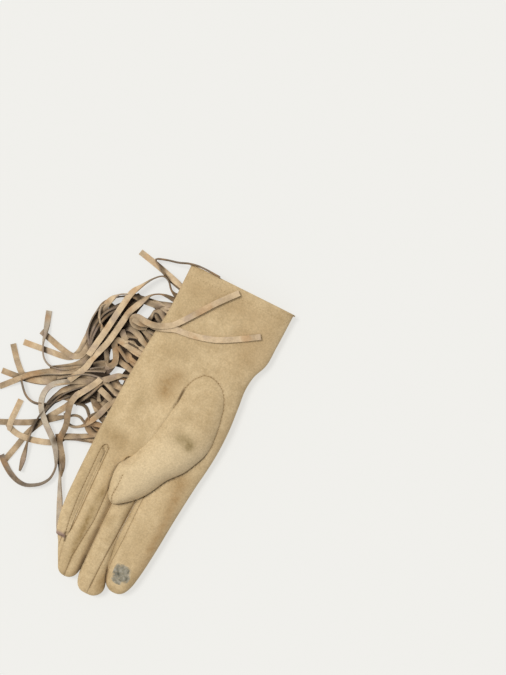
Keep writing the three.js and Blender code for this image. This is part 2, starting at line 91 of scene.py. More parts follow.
# The same for each finger, down to the point of its tip
FINGERS = {
    "little": [
        (112, -47.9, -36.6, 0, 11.6),
        (97, -48.0, -36.3, 0, 11.4),
        (75, -47.9, -35.9, 0, 11.2),
        (55, -47.3, -35.3, 0, 11.0),
        (44, -46.1, -34.8, 0, 10.8),
        (37, -44.4, -34.2, 0, 10.6),
        (33.2, -43.2, -33.9, 0.5, 10.2),
        (31.0, -42.6, -34.0, 1.4, 9.3),
        (29.6, -42.0, -34.6, 3.0, 7.8),
        (29.1, -40.6, -36.0, 4.3, 6.4),
        (29.0, -38.0, -38.0, 5.3, 5.3),
    ],
    "ring": [
        (112, -36.5, -16.4, 0, 12.0),
        (97, -36.2, -16.0, 0, 11.6),
        (75, -35.8, -15.7, 0, 11.2),
        (55, -35.2, -15.5, 0, 11.0),
        (44, -35.0, -15.4, 0, 10.9),
        (38, -36.6, -15.3, 0, 10.7),
        (33, -39.2, -15.2, 0, 10.5),
        (29, -40.9, -15.1, 0, 10.4),
        (25, -38.7, -14.9, 0, 10.2),
        (17, -34.9, -14.7, 0, 9.9),
        (12.5, -32.6, -14.8, 0, 9.7),
        (9.6, -31.1, -15.4, 0.1, 9.5),
        (7.0, -29.8, -16.6, 0.5, 9.0),
        (5.2, -28.1, -18.3, 1.5, 8.2),
        (4.2, -26.3, -20.0, 2.8, 7.2),
        (3.8, -24.7, -21.6, 4.0, 6.2),
        (3.7, -23.2, -23.2, 5.3, 5.3),
    ],
    "middle": [
        (112, -16.3, -0.5, 0, 12.0),
        (97, -15.9, -0.5, 0, 11.9),
        (75, -15.6, -0.5, 0, 11.7),
        (50, -15.4, -0.7, 0, 11.5),
        (40, -15.3, -0.1, 0, 11.3),
        (33, -15.2, 1.0, 0, 11.1),
        (25, -15.0, 2.4, 0, 10.8),
        (17, -14.9, 4.5, 0, 10.4),
        (11.5, -14.5, 6.5, 0, 10.0),
        (8.0, -13.8, 7.3, 0.1, 9.7),
        (4.8, -12.8, 6.8, 0.4, 9.2),
        (2.3, -11.4, 5.2, 1.1, 8.5),
        (0.6, -9.6, 3.2, 2.2, 7.6),
        (-0.4, -7.7, 1.1, 3.4, 6.7),
        (-0.7, -5.6, -1.1, 4.4, 5.9),
        (-0.8, -3.3, -3.3, 5.3, 5.3),
    ],
    "index": [
        (112, -0.4, 34.9, 0, 12.2),
        (97, -0.4, 33.2, 0, 12.0),
        (75, -0.4, 31.0, 0, 11.8),
        (50, -0.6, 29.0, 0, 11.7),
        (40, 0.0, 28.0, 0, 11.6),
        (33, 1.1, 27.2, 0, 11.5),
        (25, 2.2, 26.0, 0, 11.2),
        (18.5, 3.7, 24.7, 0, 10.7),
        (15.0, 5.0, 23.4, 0.2, 10.1),
        (12.0, 6.8, 21.7, 0.9, 9.3),
        (10.0, 9.3, 19.6, 2.1, 8.2),
        (9.0, 11.4, 17.3, 3.4, 7.1),
        (8.7, 12.9, 15.6, 4.4, 6.2),
        (8.6, 14.2, 14.2, 5.3, 5.3),
    ],
}
# Seams of the side strips with the palm panel: up, x on the left finger, x on the right finger
STRIP_SEAMS = {
    "fourchette_little": [(112, -39.4, -35.4), (103.5, -39.9, -35.2), (97, -40.3, -34.9),
                          (60, -39.3, -33.9), (44, -37.9, -33.4), (36, -36.6, -33.5),
                          (30, -34.8, -37.0), (4, -30.0, -36.0)],
    "fourchette_ring": [(112, -20.4, -14.6), (103.5, -20.8, -14.2), (73, -22.2, -14.2),
                        (50, -21.4, -14.2), (20, -24.2, -14.4), (4, -23.3, -15.0)],
    "fourchette_middle": [(112, -2.6, 3.0), (103.5, -2.2, 3.2), (75, -1.1, 3.2),
                          (48, -1.7, 3.8), (30, -2.5, 3.2), (18, -2.6, 4.0), (0, -2.6, 4.0)],
}
# The thumb lies over the palm, so its outline shapes the palm as well
THUMB = [
    (181.2, 7.2, 7.2, 13.6, 14.2),
    (179.6, 2.4, 14.8, 13.0, 14.9),
    (176.5, -0.6, 20.0, 12.6, 15.6),
    (171, -3.7, 24.2, 12.6, 16.6),
    (164, -5.3, 27.0, 12.6, 17.9),
    (152, -6.0, 29.6, 12.6, 19.6),
    (145, -7.1, 30.5, 12.6, 20.8),
    (135, -8.5, 31.0, 12.6, 22.4),
    (126, -10.1, 29.2, 12.6, 23.6),
    (119, -12.0, 26.2, 12.6, 24.3),
    (110, -15.5, 21.6, 12.6, 24.6),
    (103, -18.6, 15.8, 12.6, 24.4),
    (99.5, -20.6, 13.0, 12.6, 24.2),
    (96.5, -23.0, 11.2, 12.6, 23.9),
    (92, -24.0, 9.0, 12.5, 23.5),
    (85, -23.7, 5.3, 12.4, 22.4),
    (77, -22.2, -0.8, 12.3, 21.0),
    (71.5, -20.2, -7.4, 12.3, 19.4),
    (68.8, -17.8, -11.2, 12.6, 17.6),
    (67.5, -14.3, -14.3, 14.0, 14.0),
]
THUMB_TIP, THUMB_ROOT = 67.5, 181.0
THUMB_MARK = {"slope": 3.4, "slope_width": 7.0, "left_press": 1.3, "right_press": 0.9}
STRIP_SEAM_FOOT = -0.238   # angle on the section where the side strips meet the back panel
GROUPS = ["little", "ring", "middle", "index"]
COLUMNS = {"little": 9, "ring": 15, "middle": 12, "index": 24}
# Side by side, the fingers press together, so the grooves between them are shallow: how deep each
# is, and how far up from the tips its two fingers part. Toward that place it opens.
GROOVES = {
    "fourchette_little": (1.5, 25.0),
    "fourchette_ring": (3.4, 12.0),
    "fourchette_middle": (2.6, 14.0),
}
OPENING_LENGTH, OPENING_DEPTH = 13, 9   # it opens over this length, by this much
# The little finger's tip lies this high on the ring finger, pressed to this share of its height
LAID_ON, PRESSED_TO = 8.1, 0.3
# The cut edges roll down into a seam: how far, over what width, and from how far in on a finger
ROLL_DEPTH, ROLL_WIDTH, ROLL_INSIDE = 0.36, 0.7, 1.5


def smooth_sections(rows, step, round_first, round_last):
    """Adds smooth sections between a table's rows. At a round end the last row is a point, and the
    outline runs round it without a corner, in plan and from the side."""
    rows = [tuple(float(value) for value in row) for row in rows]

    def beyond(end, inner, is_round):
        if is_round:
            return (inner[0], inner[2], inner[1], inner[4], inner[3])
        return tuple(2 * a - b for a, b in zip(end, inner))

    rows = [beyond(rows[0], rows[1], round_first), *rows, beyond(rows[-1], rows[-2], round_last)]
    gaps = []
    for p, q in zip(rows, rows[1:]):
        left = math.hypot(q[0] - p[0], q[1] - p[1])
        right = math.hypot(q[0] - p[0], q[2] - p[2])
        gaps.append(max(left, right, 0.01))
    sections = []
    for i in range(1, len(rows) - 2):
        before, start, end, after = rows[i - 1:i + 3]
        span = gaps[i]
        count = max(1, round(span / step))
        for k in range(count):
            t = k / count
            section = []
            for a, b, c, d in zip(before, start, end, after):
                slope_b = (b - a) / gaps[i - 1] - (c - a) / (gaps[i - 1] + span) + (c - b) / span
                slope_c = (c - b) / span - (d - b) / (span + gaps[i + 1]) + (d - c) / gaps[i + 1]
                value = (2 * t**3 - 3 * t**2 + 1) * b + (t**3 - 2 * t**2 + t) * span * slope_b
                value += (3 * t**2 - 2 * t**3) * c + (t**3 - t**2) * span * slope_c
                section.append(value)
            sections.append(tuple(section))
    sections.append(rows[-2])
    return sections


def section_at(sections, up):
    """Reads dense sections, which run from the cuff to the tips, at one height."""
    if up >= sections[0][0]:
        return (up, *sections[0][1:])
    for upper, lower in zip(sections, sections[1:]):
        if lower[0] <= up <= upper[0] and upper[0] > lower[0]:
            share = (upper[0] - up) / (upper[0] - lower[0])
            return tuple(a + share * (b - a) for a, b in zip(upper, lower))
    return (up, *sections[-1][1:])


def ease(start, end, value):
    """Goes softly from 0 at the start to 1 at the end."""
    share = min(1.0, max(0.0, (value - start) / (end - start)))
    return share * share * (3 - 2 * share)


def bow(ratio):
    """Height share of a section's top at a place across it, from -1 to 1."""
    return max(0.0, 1 - min(1.0, abs(ratio)) ** (2 / ROUNDNESS)) ** (ROUNDNESS / 2)


body_sections = smooth_sections(BODY, FACE_SIZE, False, False)
finger_sections = {
    name: smooth_sections(rows, FACE_SIZE, False, True) for name, rows in FINGERS.items()
}
# Only their sections near the crotch shape the palm
UPPER_COUNT = 40
upper_fingers = {name: rows[:UPPER_COUNT] for name, rows in finger_sections.items()}
THUMB_FACE_SIZE = 1.1
thumb_sections = smooth_sections(THUMB, THUMB_FACE_SIZE, True, True)


def share_across(section, x):
    """Where x lies on a section: -1 at its left seam, 1 at its right seam."""
    _, left, right, _, _ = section
    return (x - (left + right) / 2) / ((right - left) / 2)


def x_on(section, share):
    """The x of a share across a section."""
    _, left, right, _, _ = section
    return (left + right) / 2 + (right - left) / 2 * share


def crown(section, x, up):
    """Height of a section's rounded top at x, or of its seams where x lies past them."""
    rise = section[4] - SEAM_HEIGHT + puffs(x, up)
    return SEAM_HEIGHT + rise * bow(share_across(section, x))


def pressed(low, share):
    """Height of an underside at a share of its depth: the table holds it flat at its lowest."""
    return max(SEAM_HEIGHT - (SEAM_HEIGHT - low + BELLY) * share, low)


def body_top(x, up):
    """Top of the palm as if it had no fingers, thumb or valleys."""
    return crown(section_at(body_sections, up), x, up)


def valley_floor(x, up):
    """The valleys between the fingers start shallow at the crotch and deepen from there."""
    return body_top(x, up) - VALLEY_DEPTH * ease(103, 84, up)


def thumb_mark(x, up):
    """What the thumb does to the palm: a soft slope up to the side of its root, and a hollow that
    its free edges press in."""
    if not THUMB_TIP < up < THUMB_ROOT:
        return 0.0
    _, left, right, _, _ = section_at(thumb_sections, up)
    slope = THUMB_MARK["slope"] * ease(97, 113, up) * ease(172, 148, up)
    if x < left:
        slope *= math.exp(-(((left - x) / THUMB_MARK["slope_width"]) ** 2))
    soft = 4.6 - 2.8 * ease(146, 151, up) * ease(170, 165, up)
    slope *= ease(left + 0.1 + soft, left + 0.1, x)
    if x > (left + right) / 2:
        press = THUMB_MARK["right_press"] * ease(134, 125, up) * ease(right + 1.2, right - 0.2, x)
    else:
        press = THUMB_MARK["left_press"] * ease(101, 89, up) * ease(left - 1.8, left + 0.2, x)
    return slope - press


def palm_height(x, up):
    """Top of the palm, which sinks into valleys where the fingers part."""
    height = body_top(x, up)
    if up <= 118:
        best = max(crown(section_at(rows, max(up, 84)), x, up) for rows in upper_fingers.values())
        height += ease(116, CROTCH, up) * (best - height)
        height = max(height, valley_floor(x, up))
    return height + thumb_mark(x, up)


def puffs(x, up):
    """Soft unevenness of unworn suede, higher and lower by under half a millimetre."""
    slow = noise.noise(Vector((x * 0.035, up * 0.028, 1.7)))
    quick = noise.noise(Vector((x * 0.12, up * 0.085, 5.1)))
    return 0.75 * slow + 0.3 * quick


def angle_at(section, x):
    """The place on a section's top, as an angle, that lies at x."""
    _, left, right, _, _ = section
    half = max((right - left) / 2, 0.01)
    ratio = min(0.9995, max(-0.9995, (x - (left + right) / 2) / half))
    return math.acos(math.copysign(abs(ratio) ** (1 / ROUNDNESS), ratio))


def around(section, angle):
    """A point on an oval section: 0 is its right seam, a quarter turn its top."""
    up, _, _, low, high = section
    c, s = math.cos(angle), math.sin(angle)
    x = x_on(section, math.copysign(abs(c) ** ROUNDNESS, c))
    share = abs(s) ** ROUNDNESS
    if s >= 0:
        return [x, up, SEAM_HEIGHT + (high - SEAM_HEIGHT) * share]
    return [x, up, pressed(low, share)]


def seam_x(name, up, side):
    """Where a side strip's seam runs at one height: side 1 is its left finger, 2 its right one."""
    rows = STRIP_SEAMS[name]
    if up >= rows[0][0]:
        return rows[0][side]
    for upper, lower in zip(rows, rows[1:]):
        if up >= lower[0]:
            share = (upper[0] - up) / (upper[0] - lower[0])
            return upper[side] + share * (lower[side] - upper[side])
    return rows[-1][side]


def seam_names(finger):
    """The side strips to the left and right of a finger."""
    place = GROUPS.index(finger)
    names = list(STRIP_SEAMS)
    return (names[place - 1] if place > 0 else None, names[place] if place < 3 else None)


def top_angles(finger, section, count):
    """Angles across a finger's palm side, from left to right seam, which lie close at the seams."""
    left_seam, right_seam = seam_names(finger)
    start = angle_at(section, seam_x(left_seam, section[0], 2)) if left_seam else math.pi
    end = angle_at(section, seam_x(right_seam, section[0], 1)) if right_seam else 0.0
    shares = [0.0, 0.035, 0.1] + [0.1 + 0.8 * k / count for k in range(1, count)] + [0.9, 0.965, 1.0]
    return [start + (end - start) * share for share in shares]


def groove_floor(finger, x, section):
    """How low a finger's side may drop beside its neighbour."""
    up, left, right, _, high = section
    name = seam_names(finger)[0 if x < (left + right) / 2 else 1]
    if not name:
        return 0.0
    depth, parting = GROOVES[name]
    return high - depth - OPENING_DEPTH * ease(parting + OPENING_LENGTH, parting, up)


def settle(finger, up, z):
    """The little finger's tip lies flattened on the ring finger."""
    if finger != "little":
        return z
    return z + ease(56, 34, up) * (LAID_ON + PRESSED_TO * z - z)


def add_sheet(name, rows):
    """Lays a grid over rows of points in millimetres. The rows run toward the cuff, and each row
    runs from left to right over the outside."""
    wide, long = len(rows[0]) - 1, len(rows) - 1
    bpy.ops.mesh.primitive_grid_add(x_subdivisions=wide, y_subdivisions=long, size=2)
    sheet = bpy.context.active_object
    sheet.name = name
    for vertex in sheet.data.vertices:
        column = round((vertex.co.x + 1) / 2 * wide)
        row = round((vertex.co.y + 1) / 2 * long)
        x, up, z = rows[row][column]
        vertex.co = Vector((x, up - MIDDLE, z)) * MM
    return sheet


def merge(name, sheets, near=0.02):
    """Joins sheets to one and welds the rows that they share."""
    bpy.ops.object.select_all(action="DESELECT")
    for sheet in sheets:
        sheet.select_set(True)
    bpy.context.view_layer.objects.active = sheets[0]
    if len(sheets) > 1:
        bpy.ops.object.join()
    whole = bpy.context.active_object
    whole.name = name
    whole.data.name = name
    bpy.ops.object.mode_set(mode="EDIT")
    bpy.ops.mesh.select_all(action="SELECT")
    bpy.ops.mesh.remove_doubles(threshold=near * MM)
    bpy.ops.mesh.dissolve_degenerate(threshold=0.001 * MM)
    bpy.ops.object.mode_set(mode="OBJECT")
    return whole


def smooth(piece, angle=None):
    """Shades a piece smooth, but for edges sharper than the angle if there is one."""
    bpy.ops.object.select_all(action="DESELECT")
    piece.select_set(True)
    if angle is None:
        bpy.ops.object.shade_smooth()
    else:
        bpy.ops.object.shade_smooth_by_angle(angle=angle)
    bpy.ops.object.select_all(action="DESELECT")


def thicken(piece, wall, **settings):
    """Gives a sheet its thickness, on the inside unless the settings say otherwise."""
    bpy.context.view_layer.objects.active = piece
    solidify = piece.modifiers.new("wall", "SOLIDIFY")
    solidify.thickness = wall * MM
    solidify.offset = -1
    for key, value in settings.items():
        setattr(solidify, key, value)
    bpy.ops.object.modifier_apply(modifier="wall")
    smooth(piece)


def seam_dip(finger, section, angle):
    """How far the cut edges roll down into a seam on top of a finger."""
    up, left, right, _, _ = section
    half = (right - left) / 2
    left_seam, right_seam = seam_names(finger)
    dip = 0.0
    for name, side in ((left_seam, 2), (right_seam, 1)):
        if name:
            place = seam_x(name, up, side)
            inside = min(right - place, place - left)
            near = abs(angle - angle_at(section, place)) * half
            roll = ROLL_DEPTH * min(1.0, max(0.0, inside / ROLL_INSIDE))
            dip = max(dip, roll * math.exp(-((near / ROLL_WIDTH) ** 2)))
    return dip


def uneven(section, angle):
    """A place on a finger's section, with the soft unevenness of its upper side, less at its tip."""
    x, up, z = around(section, angle)
    half = (section[2] - section[1]) / 2
    return x, up, z + puffs(x, up) * max(0.0, math.sin(angle)) * min(1.0, half / 6)


def above_grooves(finger, section, x, z):
    """A finger's height, which ends on the floor of the groove or valley beside it."""
    up = section[0]
    z = max(z, groove_floor(finger, x, section))
    return max(z, valley_floor(x, up)) if up > 82 else z


def tip_to_crotch(finger):
    """The sections of a finger, from its tip to the crotch."""
    rows = finger_sections[finger]
    below = [section for section in rows if section[0] < CROTCH - 0.4]
    return [*reversed(below), section_at(rows, CROTCH)]


def finger_top(finger):
    """The palm side of one finger, from its tip to the crotch."""
    rows = []
    for section in tip_to_crotch(finger):
        row = []
        for angle in top_angles(finger, section, COLUMNS[finger]):
            x, up, z = uneven(section, angle)
            z = above_grooves(finger, section, x, z)
            z += thumb_mark(x, up) * max(0.0, math.sin(angle))
            z -= seam_dip(finger, section, angle) * ease(CROTCH, CROTCH - 3, up)
            row.append([x, up, settle(finger, up, max(z, SEAM_HEIGHT + SEAM_GAP))])
        rows.append(row)
    return rows


def meet_fingers(rows, fingers, bridge):
    """The body's first row takes over the last row of each finger, with the bridges between."""
    place = 0
    for finger in fingers:
        end = [list(point) for point in finger[-1]]
        rows[0][place:place + len(end)] = end
        place += len(end) + bridge - 1


BRIDGE = 4   # columns across each crotch, between two fingers
ARCH = 2.6   # the palm arches this far up over the end of each side strip
finger_rows = {finger: finger_top(finger) for finger in GROUPS}

crotch_row = []
arch_shift = []
for finger in GROUPS:
    here = finger_rows[finger][-1]
    if crotch_row:
        start = crotch_row[-1]
        for k in range(1, BRIDGE):
            share = k / BRIDGE
            crotch_row.append(start + share * (here[0][0] - start))
            arch_shift.append(ARCH * math.sqrt(1 - (2 * share - 1) ** 2))
    crotch_row += [point[0] for point in here]
    arch_shift += [0.0] * len(here)

at_crotch = section_at(body_sections, CROTCH)
across = [share_across(at_crotch, x) for x in crotch_row]
across[0], across[-1] = -1.0, 1.0
body_rows = []
for section in reversed(body_sections):
    row = []
    for share, shift in zip(across, arch_shift):
        x = x_on(section, share)
        up = section[0] + shift * ease(CROTCH + 9, CROTCH, section[0])
        row.append([x, up, max(palm_height(x, up), SEAM_HEIGHT + SEAM_GAP)])
    body_rows.append(row)
meet_fingers(body_rows, [finger_rows[finger] for finger in GROUPS], BRIDGE)

# The hem's stitching draws a shallow line round the cuff, and the suede turns in over the edge
HEM_LINE = 240.9
LINE_DEPTH, LINE_WIDTH = 0.25, 1.1
CUFF_HALF = 42.5
TURN_IN = [(0.35, 0.45), (0.25, 1.1), (-0.7, 1.6)]   # forward and down, from the edge
for row in body_rows:
    for point in row:
        near = (point[1] - HEM_LINE) / LINE_WIDTH
        level = ease(SEAM_HEIGHT, SEAM_HEIGHT + 2, point[2])
        point[2] -= LINE_DEPTH * math.exp(-near * near) * level
edge = body_rows[-1]
for forward, down in TURN_IN:
    body_rows.append([
        [x, up + forward, max(z - down * bow(x / CUFF_HALF), SEAM_HEIGHT + SEAM_GAP)]
        for x, up, z in edge
    ])

palm = merge("palm_panel_suede", [
    add_sheet("palm_body", body_rows),
    *[add_sheet(f"palm_{finger}", finger_rows[finger]) for finger in GROUPS],
])
# The oval that takes the thumb piece, by its middle and its size
THUMB_OPENING = {"x": 12.0, "up": 152.0, "wide": 24.0, "long": 40.0}


def cut_out(piece, is_cut):
    """Deletes the faces of a sheet whose middle, in millimetres, passes the test."""
    bpy.context.view_layer.objects.active = piece
    bpy.ops.object.mode_set(mode="EDIT")
    bpy.ops.mesh.select_mode(type="FACE")
    bpy.ops.mesh.select_all(action="DESELECT")
    bpy.ops.object.mode_set(mode="OBJECT")
    for face in piece.data.polygons:
        x, up = face.center.x / MM, face.center.y / MM + MIDDLE
        face.select = is_cut(x, up, face.normal.z)
    bpy.ops.object.mode_set(mode="EDIT")
    bpy.ops.mesh.delete(type="FACE")
    bpy.ops.object.mode_set(mode="OBJECT")


def in_thumb_opening(x, up, _):
    """Whether a place lies in the oval."""
    across = 2 * (x - THUMB_OPENING["x"]) / THUMB_OPENING["wide"]
    along_it = 2 * (up - THUMB_OPENING["up"]) / THUMB_OPENING["long"]
    return across**2 + along_it**2 < 1


cut_out(palm, in_thumb_opening)
thicken(palm, WALL)


def dense_line(points, step=0.5):
    """Fills a line of points so that they lie at most a step apart."""
    filled = []
    for p, q in zip(points, points[1:]):
        count = max(1, math.ceil(math.dist(p, q) / step))
        filled += [tuple(a + (b - a) * k / count for a, b in zip(p, q)) for k in range(count)]
    return [*filled, tuple(points[-1])]


# The palm is soiled in places, and painted shade darkens the right sides of the index and ring fingers,
# the palm's right edge and the palm beside the thumb
# Stains, and painted shade: x, up, half width, half length, strength, 0 olive to 1 brown
STAINS_AND_SHADE = [
    (-18, 162, 8.0, 9.0, 0.7, 0.8),
    (-20, 190, 9.0, 6.0, 0.3, 0.5),
    (-43, 72, 3.0, 12.0, 0.35, 0.4),
    (14, 44, 8.0, 13.0, 0.3, 0.6),
    (-15, 155.5, 5.0, 4.5, 0.3, 0.85),
    (-13.5, 172, 4.5, 4.5, 0.4, 0.85),
    (-28, 183, 6.0, 4.0, 0.4, 0.6),
    (17, 129.5, 3.0, 3.4, 1.0, 0.05),
    (10, 132.4, 7.0, 4.4, 0.75, 0.05),
    (5, 147, 3.0, 5.0, 0.25, 0.1),
    (-34, 112, 11.0, 6.0, 0.6, 0.5),
    (20, 104, 7.0, 6.0, 0.5, 0.7),
    (-25, 104, 8.0, 8.0, 0.3, 0.5),
    (-31, 141, 3.0, 10.0, 0.3, 0.15),
    (-44, 120, 3.0, 20.0, 0.2, 0.3),
    (-16, 118, 4.0, 12.0, 0.4, 0.3),
    (24, 92, 4.5, 12.0, 0.5, 1.0),
    (36, 150, 3.0, 50.0, 0.12, 1.0),
    (25.5, 58, 3.8, 30.0, 0.65, 0.9),
    (-26.0, 45, 2.8, 26.0, 0.8, 0.35),
    (-24.6, 30, 2.2, 22.0, 0.35, 0.6),
    (-24, 72, 3.0, 6.0, 0.5, 0.4),
    (-12, 55, 4.0, 5.0, 0.35, 0.5),
    (-2, 66, 3.0, 9.0, 0.5, 0.4),
    (1.5, 34, 2.0, 14.0, 0.4, 0.3),
    (3.5, 11, 3.6, 8.0, 0.8, 0.7),
    (-17.5, 25, 1.8, 22.0, 0.45, 0.6),
    (25, 215, 14.0, 20.0, 0.35, 0.9),
    (-10, 236, 30.0, 8.0, 0.3, 0.8),
    (-30, 222, 12.0, 18.0, 0.25, 0.5),
    (8, 10, 5.0, 3.0, 0.3, 0.3),
    (22, 20, 3.0, 9.0, 0.4, 0.3),
    (15, 11, 8.0, 2.6, 0.35, 0.5),
    (-22, 5, 7.0, 2.0, 0.4, 0.3),
]


def soil_and_shade(x, up):
    """Strength of the stains and the painted shade at a place, and how brown they are there."""
    total, brown = 0.0, 0.0
    for sx, sup, wide, long, strength, tint in STAINS_AND_SHADE:
        ragged = 0.35 * noise.noise(Vector((x * 0.22, up * 0.22, sx)))
        reach = ((x - sx) / wide) ** 2 + ((up - sup) / long) ** 2 + ragged
        amount = strength * math.exp(-max(0.0, reach) * 0.9)
        total += amount
        brown += amount * tint
    return min(1.0, total), (brown / total if total > 0.001 else 0.0)


def stain_and_shade(x, up, z):
    """Strength of the stains and the painted shade."""
    return soil_and_shade(x, up)[0]


def stain_brown(x, up, z):
    """How brown the stains and the painted shade are."""
    return soil_and_shade(x, up)[1]


def store(piece, name, values):
    """Keeps one number for each point of a piece."""
    layer = piece.data.attributes.new(name=name, type="FLOAT", domain="POINT")
    layer.data.foreach_set("value", values)


def paint(piece, name, measure):
    """Keeps what a measure gives for the place of each point, in millimetres."""
    store(piece, name, [
        measure(v.co.x / MM, v.co.y / MM + MIDDLE, v.co.z / MM) for v in piece.data.vertices
    ])


def nearest(lines, reach):
    """A measure that is 1 on the given lines, seen from above, and 0 from reach outward."""
    places = [place for line in lines for place in dense_line(line)]
    tree = kdtree.KDTree(len(places))
    for i, (x, up) in enumerate(places):
        tree.insert((x, up, 0), i)
    tree.balance()
    return lambda x, up, z: 1 - ease(0, reach, tree.find((x, up, 0))[2])


# Seams gather dirt, and seams, valleys and creases get painted shade: some lines are drawn tight and
# dark, others hardly show
THUMB_SEAM_LINE = [(-6.1, 150), (-5.7, 158), (-5.0, 166), (-2, 174), (3, 179.8), (7, 181),
                   (11, 180.8), (15, 179.5), (20, 176.5), (24, 171), (27, 164), (29.5, 152),
                   (30.5, 145), (31, 137), (30.6, 131)]
THUMB_CREASE = [(-6.5, 150), (-5.8, 154), (-5.35, 158), (-5.15, 162), (-5.4, 166)]
crease_line = nearest([THUMB_CREASE], 1.1)


def thumb_crease(x, up, z):
    """The painted shade of the crease beside the thumb's root runs out at both ends."""
    return crease_line(x, up, z) * ease(149.6, 154, up) * ease(167, 161.5, up)


right_edge = [(section[2], section[0]) for section in thumb_sections if section[0] < 131]
left_edge = [(section[1], section[0]) for section in thumb_sections if section[0] < 97]
side_lines = {
    (name, side): [(seam_x(name, up, side), up) for up in range(101, 3, -2)]
    for name in STRIP_SEAMS for side in (1, 2)
}
LITTLE_VALLEY = [(-36.3, 97), (-35.9, 75), (-35.3, 55), (-34.9, 44), (-34.4, 34)]
RING_VALLEY = [(-15.9, 95), (-15.6, 75), (-15.5, 55), (-15.3, 40), (-15.1, 25), (-15.0, 12)]
RING_SHADE = [(-17.4, 68), (-17.2, 50), (-16.9, 35), (-16.4, 24), (-16.2, 14), (-17.2, 9)]
RING_DARK = [(-15.9, 46), (-15.6, 30), (-15.2, 12)]
RING_DARKEST = [(-15.8, 24), (-15.5, 11)]
MIDDLE_VALLEY = [(-0.5, 95), (-0.4, 75), (-0.6, 50), (0.0, 40), (1.0, 33), (2.4, 25), (3.4, 21)]
MIDDLE_DARKEST = [(3.2, 22), (4.7, 16.5), (6.9, 10.5)]
MIDDLE_SEAM_DARK = [(-1.1, 76), (-1.3, 60), (-1.7, 48), (-2.2, 36), (-2.5, 28)]
THUMB_TIP_SEAM = [(-17, 90), (-17.2, 80), (-17.6, 73), (-15.6, 68.4)]
CROTCH_CREASE = [(-39.0, 99.8), (-38.0, 99.4), (-37.0, 98.0), (-36.6, 96), (-36.4, 90)]
TIP_CORNERS = [[(-36.1, 33.4), (-36.2, 32.4)], [(-34.9, 31), (-34.4, 29), (-34.1, 27.4)]]
LITTLE_TIP = [(-42.6, 29.0), (-40, 29.4), (-37, 30.0), (-35, 30.6)]
ARCH_PARTS = 8
ARCHES = []
for name in STRIP_SEAMS:
    a, b = seam_x(name, CROTCH, 1), seam_x(name, CROTCH, 2)
    ARCHES.append([
        ((a + b) / 2 - (b - a) / 2 * math.cos(t * math.pi / ARCH_PARTS),
         CROTCH + ARCH * math.sin(t * math.pi / ARCH_PARTS)) for t in range(ARCH_PARTS + 1)
    ])
# How strong each line is, and how far it reaches to its sides
seam_dirt_and_shade_parts = [
    (0.65, nearest([side_lines["fourchette_ring", 1]], 1.0)),
    (0.9, nearest([side_lines["fourchette_middle", 1]], 1.0)),
    (0.55, nearest([side_lines["fourchette_little", 1]], 1.0)),
    (0.5, nearest([side_lines["fourchette_little", 2]], 1.0)),
    (0.2, nearest([side_lines["fourchette_middle", 2]], 1.3)),
    (0.6, nearest(ARCHES, 1.0)),
    (0.85, nearest([THUMB_SEAM_LINE], 0.9)),
    (0.15, nearest([LITTLE_VALLEY], 1.4)),
    (0.7, nearest([RING_VALLEY], 1.2)),
    (0.65, nearest([RING_SHADE], 2.8)),
    (0.6, nearest([MIDDLE_VALLEY], 1.3)),
    (1.0, nearest([MIDDLE_DARKEST], 1.8)),
    (0.8, thumb_crease),
]
# Lines of painted shade: the thumb's free edges, the crease by its root, the valleys and the corners
# between the fingers
deep_parts = [
    (0.9, nearest([right_edge], 0.9)),
    (0.5, nearest([left_edge], 1.0)),
    (1.0, thumb_crease),
    (0.4, nearest([RING_DARK], 2.0)),
    (0.75, nearest([RING_DARKEST], 1.9)),
    (0.6, nearest([MIDDLE_DARKEST], 0.9)),
    (0.3, nearest([MIDDLE_SEAM_DARK], 0.75)),
    (1.0, nearest(TIP_CORNERS, 1.3)),
    (0.75, nearest([CROTCH_CREASE], 0.9)),
    (0.55, nearest([LITTLE_TIP], 1.1)),
]


def seam_dirt_and_shade(x, up, z):
    """Dirt gathered along the seams, and painted shade along the valleys between the fingers, on the
    ring finger's shaded side and in the crease beside the thumb.
    """
    return max(strength * measure(x, up, z) for strength, measure in seam_dirt_and_shade_parts)


def deep_shade(x, up, z):
    """Shade in the folds and gaps where no light reaches."""
    return max(strength * measure(x, up, z) for strength, measure in deep_parts)


def backing_shows(x, up, z):
    """At the little finger's tip the suede turns over, and its soft backing shows."""
    return ease(32.6, 31.4, up) * ease(28.4, 29.4, up) * ease(-34.2, -35.4, x)


def palm_pale_highlight(x, up, z):
    """The palm's highest part, beside the thumb, is rubbed a little pale and given a painted highlight.
    """
    rubbed = 0.35 * ease(-3, -10, x) * ease(92, 100, up) * ease(150, 138, up)
    return rubbed * math.exp(-(((x + 13) / 7) ** 2))


# On the palm: seam dirt with painted shade, painted shade, stains with painted shade and their tint,
# the backing at the little fingertip, and rubbing with a painted highlight
paint(palm, "seam", seam_dirt_and_shade)
paint(palm, "deep", deep_shade)
paint(palm, "soil_and_shade", stain_and_shade)
paint(palm, "brown", stain_brown)
paint(palm, "lining", backing_shows)
paint(palm, "pale", palm_pale_highlight)


def linear(colour):
    """An sRGB hex colour as the linear values that a shader takes."""
    values = [int(colour[i:i + 2], 16) / 255 for i in (1, 3, 5)]
    return (*[v / 12.92 if v <= 0.04045 else ((v + 0.055) / 1.055) ** 2.4 for v in values], 1.0)


def add(tree, kind, settings=None, links=None):
    """Adds a shader node, with its settings and with links into its sockets."""
    node = tree.nodes.new("ShaderNode" + kind)
    for key, value in (settings or {}).items():
        if isinstance(key, int):
            node.inputs[key].default_value = value
        elif hasattr(node, key):
            setattr(node, key, value)
        else:
            node.inputs[key].default_value = value
    for key, source in (links or {}).items():
        tree.links.new(source, node.inputs[key])
    return node


def new_material(name):
    """An empty node material."""
    material = bpy.data.materials.new(name)
    material.use_nodes = True
    material.node_tree.nodes.clear()
    return material, material.node_tree


